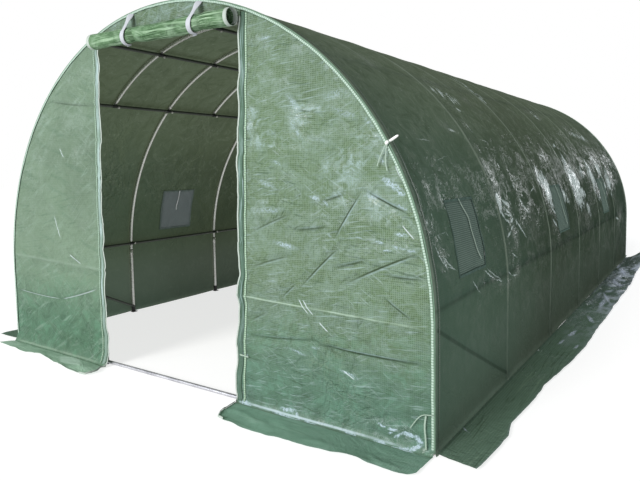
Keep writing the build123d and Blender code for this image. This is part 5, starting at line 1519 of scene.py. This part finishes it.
# ------------------------------------------------------------------ long skirts on the ground
def long_skirt(side):
    ys_ = np.linspace(Y0 + 0.004, Y1 - 0.004, 300)
    nt = 20
    t = np.concatenate([[0.0, 0.03], np.linspace(0.08, 1, nt - 2)])
    Yg, Tg = np.meshgrid(ys_, t, indexing="ij")
    q = ys_ + 3.0
    if side > 0:
        yo = [0.0, 0.03, 0.122, 0.324, 0.455, 0.763, 1.018, 1.465, 1.841, 2.403, 3.297, 4.087, 4.949, 5.5, 6.0]
        xo = [1.672, 1.676, 1.680, 1.690, 1.668, 1.680, 1.678, 1.718, 1.730, 1.728, 1.736, 1.742, 1.716, 1.728, 1.715]
    else:
        yo = [0.0, 0.05, 0.2, 0.6, 1.2, 2.0, 3.0, 4.0, 5.0, 6.0]
        xo = [1.728, 1.735, 1.722, 1.704, 1.722, 1.710, 1.730, 1.716, 1.726, 1.705]
    wx = np.interp(q, yo, xo) + 0.003 * vnoise(q * 5.5, q * 0, 805 + side) + 0.002 * vnoise(q * 15, q * 0, 809)
    x0 = 1.5085
    D = Tg * (wx[:, None] - x0)
    far = smooth(1.2, 4.6, Yg + 3.0)
    turn = smooth(5.05, 5.85, Yg + 3.0) if side > 0 else smooth(5.5, 6.0, Yg + 3.0) * 0.3
    amp = 0.004 + 0.009 * far
    rip = fbm(Yg * 2.6, D * 7.0, 811 + side, 4)
    bend = folds(Yg, D, 90, 821 + side, (-3, 3, 0.0, 0.25), (0.05, 0.22), (0.010, 0.028), (0.35, 1.0), angle=0.5, spread=1.6)
    Z = 0.0035 + 0.010 * (1 - Tg) ** 4 + Tg * (0.006 + amp * (0.6 + rip)) + (0.004 + 0.012 * far) * np.abs(bend) * smooth(0, 0.2, Tg)
    Z = Z + turn * (0.105 * Tg ** 1.6)
    Z = np.maximum(Z, 0.0022)
    X = x0 + D - turn * 0.020 * Tg ** 2
    Yg = Yg - 0.032 * Tg ** 1.6 * np.exp(-((Yg + 3.0) / 0.16) ** 2) * (1 if side > 0 else 0.3)
    P = np.stack([side * X, Yg, Z], axis=-1)
    sh = 0.30 + 0.7 * far * (0.4 + 0.6 * smooth(-0.1, 0.4, fbm(Yg * 4, D * 14, 831, 3)))
    # painted highlights along the outer edge and on crumples toward the far end
    rid = 0.12 * np.exp(-((Tg - 1) / 0.03) ** 2) + 0.9 * far * smooth(0.08, 0.34, fbm(Yg * 7, D * 20, 851, 4)) * smooth(0.1, 0.4, Tg) * smooth(0.7, 0.3, fbm(Yg * 2, D * 5, 853, 2))
    shd = 0.45 * np.exp(-(D / 0.010) ** 2)
    gli = far * (0.85 * smooth(-0.15, 0.3, fbm(Yg * 5, D * 18, 841, 3)) + 0.5 * np.exp(-((Tg - 0.96) / 0.06) ** 2)) + 0.35 * np.exp(-((Tg - 0.99) / 0.02) ** 2)
    o = obj_from("skirt_film_right" if side > 0 else "skirt_film_left", P.reshape(-1, 3), grid_faces(*Yg.shape), [M_SKIRT],
                 uv=np.stack([(Yg + 3).ravel(), (D * side + 3).ravel()], axis=1),
                 attrs={"ridge": rid.ravel(), "shine": sh.ravel(), "shade": shd.ravel(), "crinkle": (0.25 + 0.5 * far).ravel(), "glint": gli.ravel()})
    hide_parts("skirt_right" if side > 0 else "skirt_left")
    return o


skirt_right = long_skirt(1)
skirt_left = long_skirt(-1)

# ------------------------------------------------------------------ hardware: bolts, sleeves, leg collars
hw = []


def cyl(p, q, r, sides=12):
    return tube("", np.linspace(p, q, 2), r, None, sides=sides)


def bolt(c, d, r=0.0062, h=0.0045):
    c, d = np.asarray(c, float), np.asarray(d, float)
    d = d / np.linalg.norm(d)
    return [cyl(c - d * 0.003, c + d * 0.0012, r * 1.35, 14), cyl(c + d * 0.0012, c + d * (0.0012 + h), r, 6)]


sleeves = []
waist_deg = 90 - math.degrees(math.asin((0.570 - 0.5) / R_P))
for deg in (0, 19.7, -19.7, 41.4, -41.4, waist_deg, -waist_deg):
    a = math.radians(deg)
    c = np.array([R_P * math.sin(a), 0.0, LEG + R_P * math.cos(a)])
    inw = np.array([-math.sin(a), 0.0, -math.cos(a)])
    for y in (HOOP_Y if abs(deg) > 60 else ALL_Y):
        cc = c + [0, y, 0]
        e = 0.026 if abs(y) > 2.9 else 0.0
        yy = y - math.copysign(e, y) if e else y
        sleeves.append(cyl(c + [0, yy - 0.030, 0] + inw * 0.0006, c + [0, yy + 0.030, 0] + inw * 0.0006, 0.0112, 16))
        hw += bolt(c + [0, yy + (0.017 if y < 2.9 else -0.017), 0] + inw * 0.0112, inw)
V, F, UV, nn = [], [], [], 0
for v, f, u in sleeves:
    V += list(v); F += [[i + nn for i in q] for q in f]; UV += list(u); nn += len(v)
o = obj_poly("purlin_sleeves", V, F, [M_BLACK], UV)
col = []
R_H = 1.484
for y in HOOP_Y:
    for sg in (-1, 1):
        col.append(cyl((sg * R_H, y, 0.462), (sg * R_H, y, 0.520), 0.0137, 20))
        hw += bolt((sg * (R_H - 0.0135), y, 0.478), (-sg, 0, 0), r=0.005)
        hw += bolt((sg * (R_H - 0.0135), y, 0.506), (-sg, 0, 0), r=0.005)
# joints half-way up each hoop, where its lengths are plugged together
for y in HOOP_Y:
    for a in (-0.72, 0.72):
        aa = np.linspace(a - 0.024, a + 0.024, 5)
        pth = np.stack([R_H * np.sin(aa), np.full(5, y), LEG + R_H * np.cos(aa)], axis=1)
        col.append(tube("", pth, 0.0137, None, sides=18))
V, F, UV, nn = [], [], [], 0
for v, f, u in col:
    V += list(v); F += [[i + nn for i in q] for q in f]; UV += list(u); nn += len(v)
o = obj_poly("hoop_collars", V, F, [M_GALV], UV)
V, F, UV, nn = [], [], [], 0
for v, f, u in hw:
    V += list(v); F += [[i + nn for i in q] for q in f]; UV += list(u); nn += len(v)
M_BOLT = steel("zinc_bolt", (0.50, 0.50, 0.47), (0.34, 0.34, 0.32), metallic=0.8, rough=0.35)
o = obj_poly("frame_bolts", V, F, [M_BOLT], UV)

# ------------------------------------------------------------------ lights, world, floor
world = bpy.data.worlds.new("world")
bpy.context.scene.world = world
world.use_nodes = True
wt = world.node_tree
wt.nodes.clear()
wo = wt.nodes.new("ShaderNodeOutputWorld")
seen = wt.nodes.new("ShaderNodeBackground")
seen.inputs[0].default_value = (1.0, 1.0, 1.0, 1.0)
seen.inputs[1].default_value = 1.0
lit = wt.nodes.new("ShaderNodeBackground")
lit.inputs[0].default_value = (0.95, 0.98, 1.0, 1.0)
lit.inputs[1].default_value = 0.36
lp = wt.nodes.new("ShaderNodeLightPath")
ms = wt.nodes.new("ShaderNodeMixShader")
wt.links.new(lp.outputs["Is Camera Ray"], ms.inputs[0])
wt.links.new(lit.outputs[0], ms.inputs[1])
wt.links.new(seen.outputs[0], ms.inputs[2])
wt.links.new(ms.outputs[0], wo.inputs[0])

floor_m = Nodes("studio_floor")
fb = floor_m.principled(Roughness=0.95)
fb.inputs["Base Color"].default_value = (0.38, 0.38, 0.38, 1)
fb.inputs["Specular IOR Level"].default_value = 0.0
fb.inputs["Emission Color"].default_value = (1.0, 1.0, 1.0, 1)
fb.inputs["Emission Strength"].default_value = 0.74
floor_m.done(fb.outputs[0])
fme = bpy.data.meshes.new("floor")
fme.from_pydata([(-60, -60, -0.0008), (60, -60, -0.0008), (60, 60, -0.0008), (-60, 60, -0.0008)], [], [(0, 1, 2, 3)])
fme.materials.append(floor_m.m)
floor = bpy.data.objects.new("floor", fme)
bpy.context.scene.collection.objects.link(floor)


def aim(o, frm, to):
    o.location = Vector(frm)
    o.rotation_mode = "QUATERNION"
    o.rotation_quaternion = (Vector(to) - Vector(frm)).normalized().to_track_quat("-Z", "Y")


def sun(name, direction, strength, angle, color=(1, 1, 1)):
    d = bpy.data.lights.new(name, "SUN")
    d.energy, d.angle, d.color = strength, angle, color
    o = bpy.data.objects.new(name, d)
    aim(o, (0, 0, 5), Vector((0, 0, 5)) + Vector(direction))
    bpy.context.scene.collection.objects.link(o)
    return o


def area(name, at, to, size, power, color=(1, 1, 1)):
    d = bpy.data.lights.new(name, "AREA")
    d.shape = "RECTANGLE"
    d.size, d.size_y = size
    d.energy, d.color = power, color
    o = bpy.data.objects.new(name, d)
    aim(o, at, to)
    o.visible_camera = False
    bpy.context.scene.collection.objects.link(o)
    return o


sun("key", (0.12, 0.93, -0.42), 3.1, math.radians(22), (1.0, 0.99, 0.96))
area("front_soft", (-3.6, -9.5, 2.6), (0.2, -3.0, 1.2), (4.5, 3.0), 230, (0.93, 0.97, 1.0))
area("rear_soft", (4.9, 11.0, 3.1), (1.2, 0.5, 1.2), (6.6, 3.0), 430, (0.94, 0.97, 1.0))
